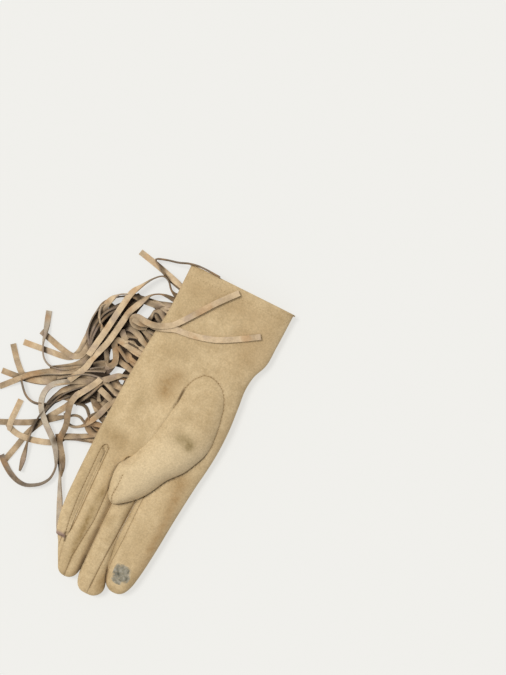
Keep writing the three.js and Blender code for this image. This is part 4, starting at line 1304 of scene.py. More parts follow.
# Name, tone, and places along it from its root: x, up, height of its middle, and its twist in degrees
# where it has one. The tone goes from 0 grey brown to 1 light camel, and the low tones of the lower
# strips partly stand for painted shade. Below 0 it is the share of painted shade that darkens it all
# along. Three numbers are its tones at both ends, and the share of its length where they meet.
STRIPS = [
    ("cuff_flat", 0.9, [(-41, 230.5, 5.5), (-52, 233.5, 3.2), (-66, 237, 1.2), (-79, 239.8, 0.8)]),
    ("cuff_edge", 0.0, [
        (-41, 229.4, 4.6), (-52, 232.4, 2.6, 20), (-62, 237, 4.2, 84), (-66, 239.8, 4.6, 84),
        (-59, 242.6, 5.4, 84), (-50, 244.8, 7, 84), (-43, 247.4, 9.4, 84),
        (-36, 248.8, 12.6, 84), (-29, 249, 14.2, 84), (-18, 248.4, 15.2, 84)]),
    ("long_outer", (0.0, 1.0, 0.32), [
        (-41, 223, 5.5), (-46, 225, 4.5, 70), (-50.5, 229.8, 4.5, 84), (-56, 231.3, 5, 84),
        (-62, 226, 6, 82), (-67.2, 217.5, 7, 60), (-70.9, 210, 7.5, 8), (-72.6, 200, 7.8),
        (-73.9, 190, 7.9), (-75.1, 180, 7.9), (-76.6, 170, 7.6), (-78.2, 160, 6.8),
        (-78.8, 155.4, 6.2)]),
    ("long_inner", (0.0, 0.9, 0.2), [
        (-41, 219.6, 5.5), (-50, 219.3, 4.5, 84), (-57, 215.6, 5, 84), (-60.3, 210.6, 6, 45),
        (-63.4, 203.5, 6.6, 5), (-66.2, 197, 7), (-67.3, 190, 7.3), (-68.7, 180, 7.5),
        (-70.4, 170, 7.5), (-72.9, 162, 7), (-74.4, 156.6, 6.8, 30), (-75.8, 151.4, 6.6, 20),
        (-76.4, 147.4, 6.3), (-78.4, 142.6, 6), (-81.2, 137.4, 5.8), (-83.5, 132.6, 5.4)]),
    ("outer_face", 0.85, [
        (-41, 212.8, 5.5), (-50, 210.2, 4.4), (-60, 208.9, 4.4), (-68, 209, 5, 40),
        (-73.5, 207.9, 6, 84), (-79, 204.6, 6, 78), (-82.6, 198.5, 5.6, 15), (-83.8, 192, 4.6),
        (-82.5, 184, 3), (-80.5, 175, 2), (-80, 165, 1.6)]),
    ("outer_bow", 0.4, [
        (-41, 215, 5.5), (-50, 211.6, 3.6), (-60, 210, 2.6), (-70, 207.9, 2.6, 60),
        (-77, 204.4, 2.8, 88), (-83, 199.6, 2.8, 88), (-87, 194.4, 2.8, 88),
        (-88.3, 187, 2.8, 88), (-88.9, 180, 2.8, 88), (-88, 172, 2.8, 88), (-85, 166, 2.8, 88),
        (-81, 160.6, 2.8, 80), (-77, 156, 2.2, 40)]),
    ("light_thin", 0.9, [
        (-68, 190, 1.4), (-76, 193.4, 1.8, 10), (-83.4, 195.4, 3.2, 50), (-86.6, 192.4, 4.4, 76),
        (-86.1, 187.4, 5.2, 72), (-83.7, 182, 5.6, 64), (-80.2, 178, 5.4, 50),
        (-75, 174.4, 4.8, 10), (-70, 172, 4)]),
    ("side_low", 0.85, [
        (-41.2, 209.6, 5.5), (-48, 211, 4.6), (-55, 210.6, 3), (-61.5, 208, 2.2),
        (-67, 203, 1.6), (-72.5, 198, 1.2), (-78, 192, 1.2), (-83, 185, 1.4, 10),
        (-85.8, 176, 1.2), (-86.2, 164, 1), (-86.4, 155, 0.9), (-89.4, 148.8, 0.9),
        (-96, 146.2, 0.8), (-108, 144.8, 0.8), (-126, 142.7, 0.8)]),
    ("side_high", 0.6, [
        (-41.6, 204, 5.5), (-46, 207, 6.2, 20), (-50.2, 205.6, 6, 66), (-50.6, 200.5, 5, 60),
        (-51.5, 195, 3.4, 20), (-57, 188, 3), (-66, 187, 2.4), (-76, 181, 2.2), (-81.3, 171, 2),
        (-82.6, 160, 2), (-84, 153, 2), (-89, 149.6, 1.8), (-98, 150.4, 1.2), (-118, 155.5, 0.8)]),
    ("over_cuff_long", (0.5, 0.85, 0.4), [
        (-50.8, 192.4, 6.6), (-54.6, 190.3, 7, 10), (-58.8, 190.3, 7.6, 15),
        (-61.8, 192.8, 8.4, 20), (-61.2, 195.6, 9, 15), (-57.6, 196.6, 9.6, 10),
        (-52, 195.9, 10.4), (-46.5, 196.2, 11), (-41, 198, 12), (-36.6, 200.2, 12.8),
        (-32.4, 203.4, 13.4), (-27.2, 210, 13.7), (-20, 220, 13.8), (-12.8, 230, 13.8),
        (-4.6, 240, 14), (-0.6, 244.8, 14)]),
    ("over_cuff_low", (0.5, 0.95, 0.3), [
        (-43.9, 186.6, 5.5), (-48, 188.8, 5.8), (-53, 190.8, 5.4), (-58.4, 192.6, 5.4, 10),
        (-58.8, 195.6, 6.8, 15), (-53, 196.2, 8.4), (-46, 195.4, 9.6), (-40, 196.6, 11),
        (-30, 200.4, 13), (-20, 201.6, 13.6), (-10, 203.8, 13.8), (0, 207.1, 13.8),
        (10, 212.4, 13.7), (20, 218.5, 13.5), (27.4, 223.4, 13.4)]),
    ("curl_inside", 0.75, [
        (-50.2, 194.8, 8.8), (-54, 193.4, 8.9), (-58.6, 193.3, 8.9), (-62.2, 193.9, 8.4)]),
    ("bow_inner", 0.1, [
        (-72, 196.5, 3, 40), (-77.5, 192, 4.6, 52), (-81, 185, 5.2, 54), (-82.6, 177, 5.4, 60),
        (-82.4, 168, 5.2, 64), (-80.8, 161, 3, 60)]),
    ("bow_middle", 0.2, [
        (-72, 199, 3, 50), (-78.5, 194.4, 4.4, 64), (-83, 187.4, 5, 66), (-84.8, 179, 5, 66),
        (-84.4, 170, 4.6, 64), (-82.4, 163, 3, 60)]),
    ("tuck_first", 0.6, [
        (-44.2, 180.6, 5.5), (-48.6, 182.2, 5.8), (-53.5, 184.9, 5.6), (-58.6, 186.2, 4.8, 30),
        (-63, 184.8, 3.4, 50), (-67, 178, 2, 20), (-69, 170, 1.6), (-67.6, 162, 1.6),
        (-64.4, 154, 1.8)]),
    ("lilac_tuck", 0.8, [
        (-45.4, 177.3, 5.4), (-50.5, 178.4, 5.4, 20), (-54, 178.7, 5.3, 35),
        (-57.6, 177.8, 5.2, 40), (-60, 176.6, 5, 30)]),
    ("blunt_tuck", 0.5, [
        (-46, 175, 4.4), (-53, 175.4, 4.8), (-58.6, 177.2, 5.4), (-62.4, 179.6, 5.8),
        (-65.4, 182.8, 5.6)]),
    ("tuck_second", (0.8, 0.35, 0.4), [
        (-45, 173.8, 5.8), (-52, 173.9, 5.8), (-58, 174.4, 5.8), (-63, 175, 5.6),
        (-66.2, 174, 5.6, 10), (-65.6, 171, 5.6), (-62.8, 167, 5.4), (-60.2, 162.4, 5.4),
        (-59.4, 158.4, 5.2), (-61.6, 155, 4.6), (-66, 152, 4), (-72.5, 147, 3.4)]),
    ("tuck_third", 0.6, [
        (-45.4, 166.8, 5.5), (-50, 167.6, 5.4), (-54.5, 168.2, 4.8), (-58.5, 168.6, 3.4),
        (-63, 170.4, 2.4), (-68.6, 168, 1.6), (-72, 160, 1.4), (-73.4, 152, 1.4)]),
    ("seam_fourth", 0.5, [
        (-46, 159.3, 5.5), (-51, 160.4, 5.4), (-56.4, 161.6, 4), (-61, 158.6, 2.4),
        (-64.4, 153.4, 2), (-68, 149, 2), (-73, 145.6, 1.8)]),
    ("outlier_up", 0.65, [
        (-46.6, 145.4, 5), (-53, 145.2, 4.2), (-60, 147, 3), (-68, 149.4, 2.2), (-76, 148, 1.6),
        (-84, 143, 2, 40), (-91, 138, 2.6, 84), (-99.6, 135.8, 2.6, 104),
        (-107, 138.8, 2.6, 104), (-112, 147, 2.6, 100), (-115, 157.4, 1.6, 140),
        (-117.2, 164, 1, 180), (-119.6, 171.4, 0.8, 180)]),
    ("bundle_first", 0.5, [
        (-47, 144.4, 5.4), (-54, 144.2, 4.4), (-61, 145, 3), (-69, 146.6, 2.6), (-77, 145, 2.6),
        (-90, 137.6, 3.2, 20), (-101, 131.6, 2.8, 50), (-110, 125, 2.8, 50),
        (-118, 116, 2.6, 20), (-127.5, 105.6, 0.8)]),
    ("down_to_finger", 0.85, [
        (-73.4, 125.4, 6.2), (-70.8, 129.6, 6.4), (-67, 135.8, 6.7), (-64.2, 141, 7),
        (-63.2, 144.2, 7.2)]),
    ("down_folded", (0.6, 0.15, 0.2), [
        (-73, 127.2, 6.6), (-74.8, 120, 6), (-74.4, 115, 5.8), (-73.1, 110, 5.6),
        (-71.3, 104.6, 5.4), (-70.5, 99, 5.4), (-70.6, 94, 5.4), (-69.6, 89.6, 4.8),
        (-66.6, 85, 4.2), (-63.2, 80.4, 3.8), (-61, 76, 3.4, -10), (-59.4, 72.4, 3.2, -36),
        (-58.1, 69.4, 3, -68), (-57.2, 67.2, 2.8, -86)]),
    ("bundle_second", 0.55, [
        (-47, 139.8, 5.5), (-52, 140.9, 5), (-57, 142.8, 4.6), (-64, 142.9, 4),
        (-77, 139.4, 3.8), (-90, 131.5, 3), (-103, 124.5, 2.2), (-114, 120.5, 1.4),
        (-123, 127, 1), (-132.4, 138, 0.8)]),
    ("bundle_third", 0.45, [
        (-47.1, 134.6, 3), (-56, 135.4, 1.4), (-67, 136.4, 2), (-79, 134.4, 2.4),
        (-91, 127.4, 2), (-104, 121.5, 1.6), (-118, 118.4, 0.8), (-131, 117, 0.8)]),
    ("edge_arc", 0.1, [
        (-47.2, 134, 4.6), (-56, 131.6, 2.6), (-66, 130.4, 2.6, 60), (-78, 122.5, 2.6, 84),
        (-87, 112.6, 2.6, 100), (-94, 108.2, 2.6, 106), (-101, 106.7, 2.6, 108),
        (-108, 109.6, 2.6, 108), (-115.5, 118, 2.6, 106)]),
    ("short_hook", 0.55, [
        (-47.4, 134.4, 5.8), (-49.6, 129.6, 6.4, 10), (-51.2, 125, 6.2, 10),
        (-52.8, 120, 5.8, 10), (-55.1, 115, 5.2, 20), (-58, 110, 4.6, 40), (-61, 106.6, 3.8, 72),
        (-65, 104, 3, 76), (-69.5, 103.8, 2.8, 76), (-73, 106, 2.8, 76), (-75.4, 110, 2.8, 76)]),
    ("cross_down", 0.5, [
        (-47.6, 126, 5), (-54, 129, 2.6), (-62.5, 131.4, 1.8), (-70, 127.6, 1.8),
        (-74.4, 120.4, 1.8), (-77.4, 114, 1.6), (-81.6, 107.4, 1.4), (-86, 100.4, 1.1),
        (-90.6, 92, 0.9), (-94.2, 83, 0.9), (-97, 71, 0.8), (-100, 59, 0.8)]),
    ("edge_down", 0.1, [
        (-47.8, 110.4, 5.2), (-52, 110.6, 3.8, 40), (-56.4, 112.8, 3, 80), (-59.7, 117, 2.8, 76),
        (-63, 120.2, 2.8, 76), (-66.6, 121.2, 2.8, 76), (-70.5, 120.2, 2.8, 76),
        (-77, 120.6, 2.4, 20), (-83, 119.4, 2.4), (-87.4, 114.4, 2.4, 30), (-90, 107.4, 2.6, 70),
        (-91.6, 100, 2.8, 80), (-92.4, 92, 2.8, 76), (-91.9, 84, 2.7, 76), (-91, 78, 2.6, 76),
        (-89.6, 72, 2.4, 50), (-88.3, 66, 2, 25), (-87.5, 61.4, 2, 45), (-86.8, 57, 2.2, 70)]),
    ("small_loop", 0.35, [
        (-47.9, 113.6, 5.5), (-53, 112.4, 4.6, 10), (-57.4, 110.2, 3.4, 60),
        (-60.6, 110.6, 2.8, 76), (-64.6, 112.3, 2.8, 76), (-69, 111.5, 2.8, 76),
        (-73, 108.4, 2.8, 76), (-80, 103.4, 2.4, 40), (-88, 97, 1.6), (-96, 92, 1.4),
        (-106, 87, 1.2), (-117, 82, 0.8)]),
    ("seam_curl", 0.4, [
        (-48, 107.2, 5.5), (-52, 105.8, 5), (-55.8, 107.6, 4.4, 10), (-58.2, 111.4, 3.2, 40),
        (-57.4, 116, 2.4, 60), (-54.4, 119.6, 2, 50)]),
    ("light_loop", (0.95, 0.1, 0.5), [
        (-84, 131.2, 4.4, -180), (-89.4, 127.6, 4.4, -180), (-93.6, 123.4, 4.2, -165),
        (-95.6, 117.6, 4, -165), (-95.2, 111, 4.1, -175), (-92.2, 104.8, 4.2, -180),
        (-87.8, 99.8, 4.4, -180), (-82.8, 95.2, 4.6, -180), (-78, 91.4, 4.8, -180),
        (-73.6, 87.4, 4.6, -180), (-69.8, 83, 4, -162), (-67.6, 79.6, 3.6, -145),
        (-65.6, 75.6, 3, -124), (-64, 71.4, 2.7, -110), (-63.5, 66.4, 2.6, -110),
        (-64.5, 60.8, 2.6, -110), (-68.8, 54.9, 2.6, -110), (-76, 50.4, 2.6, -112),
        (-81, 49.4, 2.5, -118), (-86, 50.1, 2.3, -126), (-92, 52.6, 2, -137),
        (-98, 56.6, 1.6, -150), (-104, 61.5, 1.2, -158)]),
    ("root_high", 0.45, [
        (-48, 105.4, 5.5, 20), (-53, 102.6, 5.2, 40), (-58, 99.8, 4.9, 45), (-64, 96.8, 4.6, 35),
        (-69.6, 93.8, 4.2, 20), (-74, 91, 3.6)]),
    ("root_low", 0.25, [
        (-48, 99.8, 5.2, 50), (-56, 98, 4, 60), (-62, 96.2, 3.2, 50), (-68, 93.6, 2.8, 20),
        (-73, 89.6, 2.4)]),
    ("square_turn", 0.75, [
        (-48, 102.2, 4.8), (-54, 100, 3.6, 20), (-60, 97.4, 2.8, 60), (-66.6, 94.4, 2.4, 60),
        (-70.6, 90, 2, 10), (-74.4, 86.4, 1.8), (-81, 83.6, 1.6), (-90, 81.2, 1.8),
        (-99, 80.4, 1.4), (-105.4, 81.6, 1), (-110, 84.4, 0.9)]),
    ("square_end", 0.85, [
        (-107, 81.8, 1.6), (-108.4, 86, 1.8), (-108.7, 94, 1.4), (-109, 104, 0.8)]),
    ("finger_hang", 0.85, [
        (-62.6, 75, 2.6, -118), (-60.4, 71.2, 2.6, -114), (-58.2, 66.9, 2.6, -116),
        (-55.3, 60.6, 2.6, -130), (-51.8, 53.4, 2.2, -148), (-48.7, 46.4, 1.6, -167),
        (-45.9, 40.2, 1.2, -175), (-43.6, 35.4, 0.8, -180), (-41.2, 30.9, 0.8, -180)]),
    # Lower strips, and short stretches of strip that show between others
    ("below_first", 0.1, [
        (-42, 206.4, 4), (-48, 209, 2.4), (-58, 209.6, 1.6), (-66, 207, 1.2), (-72, 200.8, 0.8),
        (-77.4, 194, 0.8), (-82, 186.4, 0.8), (-84, 176, 0.8), (-84.2, 163, 0.8),
        (-83.6, 153, 0.8)]),
    ("below_second", 0.05, [
        (-43.2, 197, 4.5), (-50, 194, 2), (-58, 192, 1.2), (-68, 192, 0.9), (-75, 185, 0.9),
        (-79, 174, 0.9), (-79.4, 162, 0.9), (-77, 151, 0.9), (-79, 141, 0.9)]),
    ("below_third", 0.2, [
        (-44, 186, 3), (-53, 181, 1.6), (-62, 178.5, 1), (-70, 176, 0.9), (-75, 166, 0.9),
        (-76, 154, 0.9), (-80, 145, 1), (-89, 137, 1), (-99, 131, 1)]),
    ("below_fourth", 0.1, [
        (-44.9, 172, 3), (-53, 172, 1.4), (-61, 171, 0.9), (-68.6, 167.6, 1.4),
        (-72.5, 158, 1.4), (-74, 150, 1.4), (-81, 142.5, 1.2), (-92, 136, 1), (-104, 129, 0.8)]),
    ("below_fifth", 0.25, [
        (-47, 141.6, 3.4), (-54, 144.4, 2), (-62, 148.4, 1.4), (-70, 148.4, 1.2),
        (-78, 143.6, 1.2), (-92, 133.5, 1.2)]),
    ("below_sixth", 0.15, [
        (-65, 147, 1.2), (-63, 140, 1.4), (-60.5, 134.5, 1.6), (-58.5, 129.6, 1.6),
        (-53.6, 124.6, 2), (-48, 121.4, 4)]),
    ("below_seventh", 0.3, [
        (-46.8, 144, 4.4), (-54, 143, 3), (-62, 145.5, 2.2), (-70, 148.5, 1.4), (-77, 146, 1.2),
        (-85, 139.5, 1.2), (-96, 133, 1), (-107, 126.6, 0.9), (-115, 120.6, 0.8)]),
    ("below_eighth", 0.25, [
        (-47, 138.6, 4), (-56, 140.5, 2.2), (-66, 139.5, 1.2), (-76, 137, 1), (-88, 132, 1),
        (-100, 125.4, 1), (-113, 120.6, 0.9)]),
    ("below_ninth", 0.05, [
        (-47.2, 133, 3.6), (-53, 132.5, 2), (-58, 132, 1.4), (-64.5, 134, 1), (-71, 137.4, 1),
        (-79, 141, 1)]),
    ("below_tenth", 0.15, [
        (-48.4, 118.4, 4), (-52.6, 121.4, 2.8), (-57, 124.6, 2.6), (-61.6, 128, 2.4),
        (-66, 131.6, 1.8), (-73, 134.6, 1.4)]),
    ("brown_turn", 0.35, [
        (-58, 142, 2.8), (-70, 138.6, 2.8), (-77, 131.8, 2.8), (-82.8, 125.4, 2.8),
        (-86.4, 119, 2.8), (-88.6, 112.6, 2.8, 10), (-90.3, 106, 2.8, 50), (-91.8, 99, 2.8, 80),
        (-92.2, 92, 2.6, 80)]),
    ("brown_thin", 0.1, [
        (-66, 139, 3.4, 70), (-74, 132, 3.6, 80), (-80.6, 125.4, 3.6, 80), (-85, 118.6, 3.6, 80),
        (-87.6, 111.6, 3.4, 80), (-89.6, 104.6, 3, 80)]),
    ("light_slant", 0.55, [
        (-66, 141.5, 3.6, 30), (-72, 136.4, 3.8, 30), (-78.6, 130, 3.8, 20),
        (-84, 124.6, 3.6, 30), (-87.2, 119.6, 3.2, 60), (-89.2, 114, 3, 80)]),
    ("brown_slant", 0.1, [
        (-60, 137, 2), (-69, 133, 1.6), (-76, 127.6, 1.4), (-82, 121.6, 1.2), (-86.6, 115, 1.2),
        (-89.4, 108, 1), (-91, 101, 1, 10)]),
    ("side_third", 0.5, [
        (-77, 172, 1.4), (-79.4, 162, 1.4), (-80.4, 154, 1.4), (-81.6, 148.6, 1.4),
        (-85.6, 143.6, 1.4), (-92, 138.8, 1.3), (-100, 133.6, 1.2)]),
    ("grey_patch", 0.55, [
        (-47.6, 117.6, 3.6), (-52, 119.4, 3), (-57.2, 123.4, 2.6), (-61.8, 128.2, 2.4),
        (-65.6, 133.8, 2.2), (-69.6, 141, 1.8)]),
    ("grey_patch_upper", 0.45, [
        (-48, 124.6, 2.8), (-53, 125.4, 2.2), (-57.6, 129, 2), (-60.8, 134.4, 1.8),
        (-63, 140, 1.6)]),
    ("grey_shelf", 0.2, [
        (-62.6, 128.6, 1.2), (-67.5, 123.4, 1.4), (-73, 121.2, 1.4), (-80, 120.6, 1.4),
        (-86, 118.6, 1.2)]),
    ("seam_stub_first", 0.25, [
        (-42.6, 200.5, 5), (-46, 202.6, 5.4, 10), (-48.6, 206, 5.2, 30), (-46.6, 209.4, 4.6, 30),
        (-42.6, 210.6, 4.4, 10)]),
    ("seam_stub_third", 0.62, [
        (-47.6, 133, 5.5), (-51, 133.9, 6), (-56, 135.6, 6.2), (-60.8, 137, 5.8)]),
    ("bundle_light", 0.75, [
        (-64, 150.5, 4.4, 60), (-70, 148, 4.6, 50), (-77, 144.4, 4.6, 40), (-84, 139.6, 4.4, 40),
        (-92, 134.6, 4, 60), (-101, 129.6, 3.4, 80), (-110, 123.4, 3, 80),
        (-117, 116.6, 2.4, 60)]),
    ("bundle_thin", 0.6, [
        (-58, 145.4, 4.8, 60), (-66, 144.6, 4.8, 80), (-74, 142.6, 4.6, 80), (-82, 138, 4.4, 80),
        (-92, 130.6, 3.8, 60)]),
    ("bundle_face", 0.7, [
        (-66, 139, 4.4), (-74, 136.6, 4.6), (-80, 133.6, 4.4, 10), (-86, 130, 4, 30),
        (-92, 126.6, 3.4, 30), (-100, 123.4, 2.8, 10), (-108, 121, 2), (-116, 119, 1.4)]),
    # Dark pieces with tones below 0, laid where only deep shade shows between the others: painted shade
    ("dark_fifth", -0.85, [
        (-61.4, 207.4, 1.4), (-63.6, 198, 1.6), (-65, 188, 1.4), (-66, 178, 1.4),
        (-67.6, 167, 1.4)]),
    ("dark_sixth", -0.85, [
        (-66.6, 209.4, 1.6), (-69.6, 198, 1.6), (-71.2, 186, 1.4), (-72.4, 172, 1.4),
        (-72.6, 160, 1.4), (-72.2, 150, 1.4)]),
    ("dark_core", -0.9, [(-69.8, 166, 1), (-69.4, 158, 1), (-68.4, 149, 1)]),
    ("dark_seventh", -0.95, [(-50.4, 137.4, 2.8), (-55, 139.2, 2.8), (-61.6, 141.2, 2.8)]),
    ("brown_tuck", -0.5, [
        (-51.6, 169.8, 4.2), (-55.5, 169.9, 4.2), (-59.4, 170.8, 3.8), (-63, 172.6, 2.8)]),
    ("dark_notch", -0.95, [(-45.6, 155.4, 3.4), (-48.4, 155.6, 3.2), (-50.6, 156, 3)]),
    ("notch_left", -0.6, [(-59.6, 158, 4.2), (-60.4, 154, 4), (-61.8, 149.4, 3.8)]),
    ("slot_low", -0.7, [(-74, 122.6, 2.4), (-69, 125.6, 2.4), (-64.6, 129, 2.4)]),
    ("notch_round", 0.4, [
        (-46.2, 152, 4.4, 35), (-49.6, 151.8, 4.4, 35), (-52.2, 150.2, 4, 50),
        (-52.6, 147.4, 3.4, 50), (-50.4, 145.6, 3, 20)]),
    ("notch_edge", 0.2, [(-45.2, 153.6, 2.6), (-45.2, 150, 2.6), (-45.2, 146, 2.6)]),
    ("black_post", -0.95, [(-62.4, 139, 3.4), (-62.6, 134, 3.4), (-62.2, 128.4, 3.2)]),
    ("black_wedge", -0.95, [(-60, 133.6, 3), (-57, 132.6, 3), (-54.4, 131.8, 3)]),
    ("grey_slip", 0.6, [(-61, 135, 4, 50), (-59.4, 131.6, 3.8, 50), (-57.4, 128.4, 3.2, 30)]),
    ("core_dark", -0.95, [
        (-60.6, 147.2, 4.3), (-66, 146.2, 4.3), (-71, 143.6, 3.6), (-76, 140.6, 3.4)]),
    ("core_edge", 0.3, [(-73.2, 146.4, 4.4, 75), (-69, 149.4, 4.4, 72), (-64.6, 151.6, 4.4, 60)]),
    ("slant_edge", 0.45, [(-73, 150.4, 4.6, 50), (-68.6, 154, 4.8, 45), (-63.6, 157, 4.9, 40)]),
    ("dark_wedge", -0.95, [
        (-66.6, 176, 3.4), (-68.6, 168, 3.6), (-70.2, 160, 3.6), (-71.6, 152.6, 3.2)]),
    ("dark_corner", -0.9, [(-43, 200, 3), (-47, 199.7, 2.8), (-50, 199.5, 2.4)]),
    ("dark_eighth", -0.85, [(-63.4, 132.8, 1.2), (-57, 132.4, 1.4), (-50, 131.4, 2.2)]),
    ("dark_ninth", -0.7, [(-61.6, 148.6, 0.9), (-68, 146, 0.9), (-77, 145.4, 0.9)]),
    ("dark_tenth", -0.7, [(-48.6, 112, 2.4), (-52, 109.8, 2), (-55.6, 110.2, 1.6)]),
    ("dark_outer", -0.55, [
        (-83.6, 191, 1), (-86.2, 184, 1), (-86.8, 176, 1), (-86, 168, 1), (-83.4, 162, 1)]),
    ("dark_outer_side", -0.3, [(-75.4, 193, 1), (-79, 186, 1), (-80.6, 178, 1), (-81, 168, 1)]),
    ("lilac_slip", 0.45, [
        (-43.4, 190.8, 4.8, 28), (-46.4, 191.3, 4.8, 30), (-48.8, 191.9, 4.4, 40)]),
    ("tuck_dark", -0.85, [
        (-53.6, 182.6, 4.4, 20), (-57, 183.6, 4.2, 10), (-61, 183.8, 3.6), (-64, 182.6, 3)]),
    ("brown_slip", 0.25, [
        (-53.6, 183.2, 5, 50), (-57.6, 182, 4.9, 40), (-61.4, 181, 4.6, 40), (-64, 180, 4, 30)]),
    ("dark_slip", -0.95, [
        (-49.8, 179.2, 5.3, 66), (-51.8, 180.2, 5.3, 68), (-54.2, 181.3, 5.1, 66),
        (-56.6, 180.6, 4.8, 56), (-58.8, 179.6, 4.6, 44)]),
    ("olive_slip", -0.55, [
        (-50.2, 177.3, 5.6, 50), (-53.6, 177.4, 5.6, 56), (-57, 177.5, 5.5, 60)]),
    ("green_tuck", 0.75, [(-45, 172.1, 5.7), (-50, 172.7, 5.6), (-55, 173.6, 5.2)]),
    ("slot_upper", -0.97, [(-45, 169.2, 4.6), (-48.4, 169.9, 4.6), (-51.4, 170.8, 4.4, 10)]),
    ("grey_diagonal", 0.5, [
        (-51.6, 165, 5.8, 58), (-55.2, 166.9, 5.8, 62), (-58.8, 168.9, 5.7, 62),
        (-62.2, 170.8, 5.5, 50)]),
    ("black_fold", -0.97, [
        (-53.6, 165, 5.1, 20), (-56.4, 165.9, 5.1, 10), (-59.8, 167, 5), (-61, 167.4, 4.8)]),
    ("finger_root", 0.5, [
        (-46.2, 154.8, 6, 30), (-50, 153.4, 6.4, 45), (-53.4, 151, 6.6, 20), (-56.6, 147.9, 6.7),
        (-60, 144.9, 6.8), (-61.6, 143.4, 6.6)]),
    ("green_side", 0.1, [
        (-60.4, 143.4, 5.4, 30), (-62.3, 140, 5.8, 50), (-63.8, 136, 5.8, 52),
        (-65.6, 130.8, 5.4, 52), (-68.2, 126.2, 4.6, 45), (-70.6, 122.6, 2.6, 30),
        (-72.4, 119.4, 1.4, 20)]),
    ("lilac_diagonal", 0.6, [
        (-48.6, 139.4, 5.8), (-52, 140.6, 5.9, 25), (-56, 142.3, 5.9, 35),
        (-59.6, 143.4, 5.7, 40)]),
    ("dark_side", -0.95, [(-46.4, 131, 2.4), (-47.2, 127, 2.4), (-48.4, 123.4, 2.4)]),
    ("olive_slant", 0.5, [
        (-63.2, 155.4, 4, 30), (-65.8, 159.4, 4.8, 40), (-68, 163, 4.7, 45),
        (-69.8, 167, 4.2, 45)]),
    ("dark_joint", -0.9, [
        (-66.4, 83.4, 3), (-65.4, 79.8, 2.8, 20), (-64.3, 76.6, 2.6, 40), (-63.3, 74.2, 2.4, 60)]),
    ("tuck_under", 0.55, [(-46.2, 164.4, 5.4, 10), (-50, 165.8, 5.4, 14), (-53.6, 167.2, 5.2, 20)]),
    ("dark_hollow", -0.9, [(-45.6, 202.6, 2.2), (-48, 202.8, 2.2), (-50.6, 202.8, 2.2)]),
]
# Short ends packed behind the seam, one below another, painted dark as shade where no light comes
PACKED = 9
for k in range(PACKED):
    low = 191.5 - 3.9 * k
    STRIPS.append((f"packed_{k}", -0.85, [
        (-44.4 - 0.35 * k, low, 2.6), (-53, low - 0.4, 1.4), (-61 + 0.3 * k, low - 1.5, 1.2)
    ]))
# A strip shades what lies within this reach and at least this far below it
SHADE_REACH, SHADE_RISE = 6.0, 0.3


def along(way, step):
    """Evenly spaced places on a smooth line through the given ones."""
    parts = 12
    line = []
    for i in range(len(way) - 1):
        a, b = way[max(i - 1, 0)], way[i]
        c, d = way[i + 1], way[min(i + 2, len(way) - 1)]
        for k in range(parts):
            t = k / parts
            line.append([
                0.5 * (2 * q + (r - p) * t + (2 * p - 5 * q + 4 * r - s) * t * t
                       + (3 * q - p - 3 * r + s) * t**3)
                for p, q, r, s in zip(a, b, c, d)
            ])
    line.append([float(value) for value in way[-1]])
    walked = [0.0]
    for p, q in zip(line, line[1:]):
        walked.append(walked[-1] + math.dist(p[:3], q[:3]))
    count = max(4, round(walked[-1] / step))
    places, i = [], 1
    for k in range(count + 1):
        want = walked[-1] * k / count
        while i < len(line) - 1 and walked[i] < want:
            i += 1
        share = (want - walked[i - 1]) / max(walked[i] - walked[i - 1], 1e-6)
        places.append([p + share * (q - p) for p, q in zip(line[i - 1], line[i])])
    return places


def tone_along(tone, share):
    """A strip's tone at a share of its length."""
    if not isinstance(tone, tuple):
        return tone
    first, last, change = tone
    return first + (last - first) * ease(change - 0.07, change + 0.07, share)


def ribbon(name, way, seed):
    """One cut strip as a thin grid, cupped a little and never quite flat."""
    x, up, z, twist = way[0]
    hidden = [(x + HIDDEN_START, up, z, twist)] if way[1][0] <= x else []
    places = along([*hidden, *way], STRIP_STEP)
    rooted = x > SEAM_REACH[0] and z > SEAM_REACH[1]
    rows = []
    for i, (x, up, z, twist) in enumerate(places):
        before, after = places[max(i - 1, 0)], places[min(i + 1, len(places) - 1)]
        ahead = Vector([q - p for p, q in zip(before[:3], after[:3])]).normalized()
        flat = Vector((-ahead.y, ahead.x, 0)).normalized()
        rise = ahead.cross(flat)
        turn = math.radians(twist + SWAY * noise.noise(Vector((i * STRIP_STEP * 0.05, seed, 0.5))))
        if rooted:
            turn += ROOT_TURN * ease(10, 2, i * STRIP_STEP)
        across = flat * math.cos(turn) + rise * math.sin(turn)
        through = rise * math.cos(turn) - flat * math.sin(turn)
        lift = LIFT * noise.noise(Vector((i * STRIP_STEP * 0.07, seed, 8.5)))
        row = []
        for share in (1, 0.5, 0, -0.5, -1):
            point = Vector((x, up, z + max(lift, 0))) + across * (share * STRIP_WIDTH / 2)
            point -= through * (CUP * share * share)
            low = LOWEST
            if name in OVER_PALM and point.x > PALM_REACH[0] and point.y > PALM_REACH[1]:
                low = OVER_PALM[name] + body_top(point.x, point.y)
            row.append([point.x, point.y, max(point.z, low)])
        rows.append(row)
    return add_sheet(name, rows)


strips = []
middles = []
for seed, (name, tone, way) in enumerate(STRIPS):
    way = [(*place, 0)[:4] for place in way]
    strip = ribbon(name, way, seed * SEED_STEP)
    last = len(strip.data.vertices) - 1
    drift = Vector((seed * SEED_STEP, 0, 0))
    store(strip, "tone", [
        max(0.0, tone_along(tone, i / last))
        + TONE_DRIFT * noise.noise(Vector((v.co.x, v.co.y, 0)) / (TONE_PATCH * MM) + drift)
        for i, v in enumerate(strip.data.vertices)
    ])
    strips.append(strip)
    middles += [(seed, *place) for place in along(way, STRIP_STEP)]
above = kdtree.KDTree(len(middles))
for i, (_, x, up, _, _) in enumerate(middles):
    above.insert((x, up, 0), i)
above.balance()

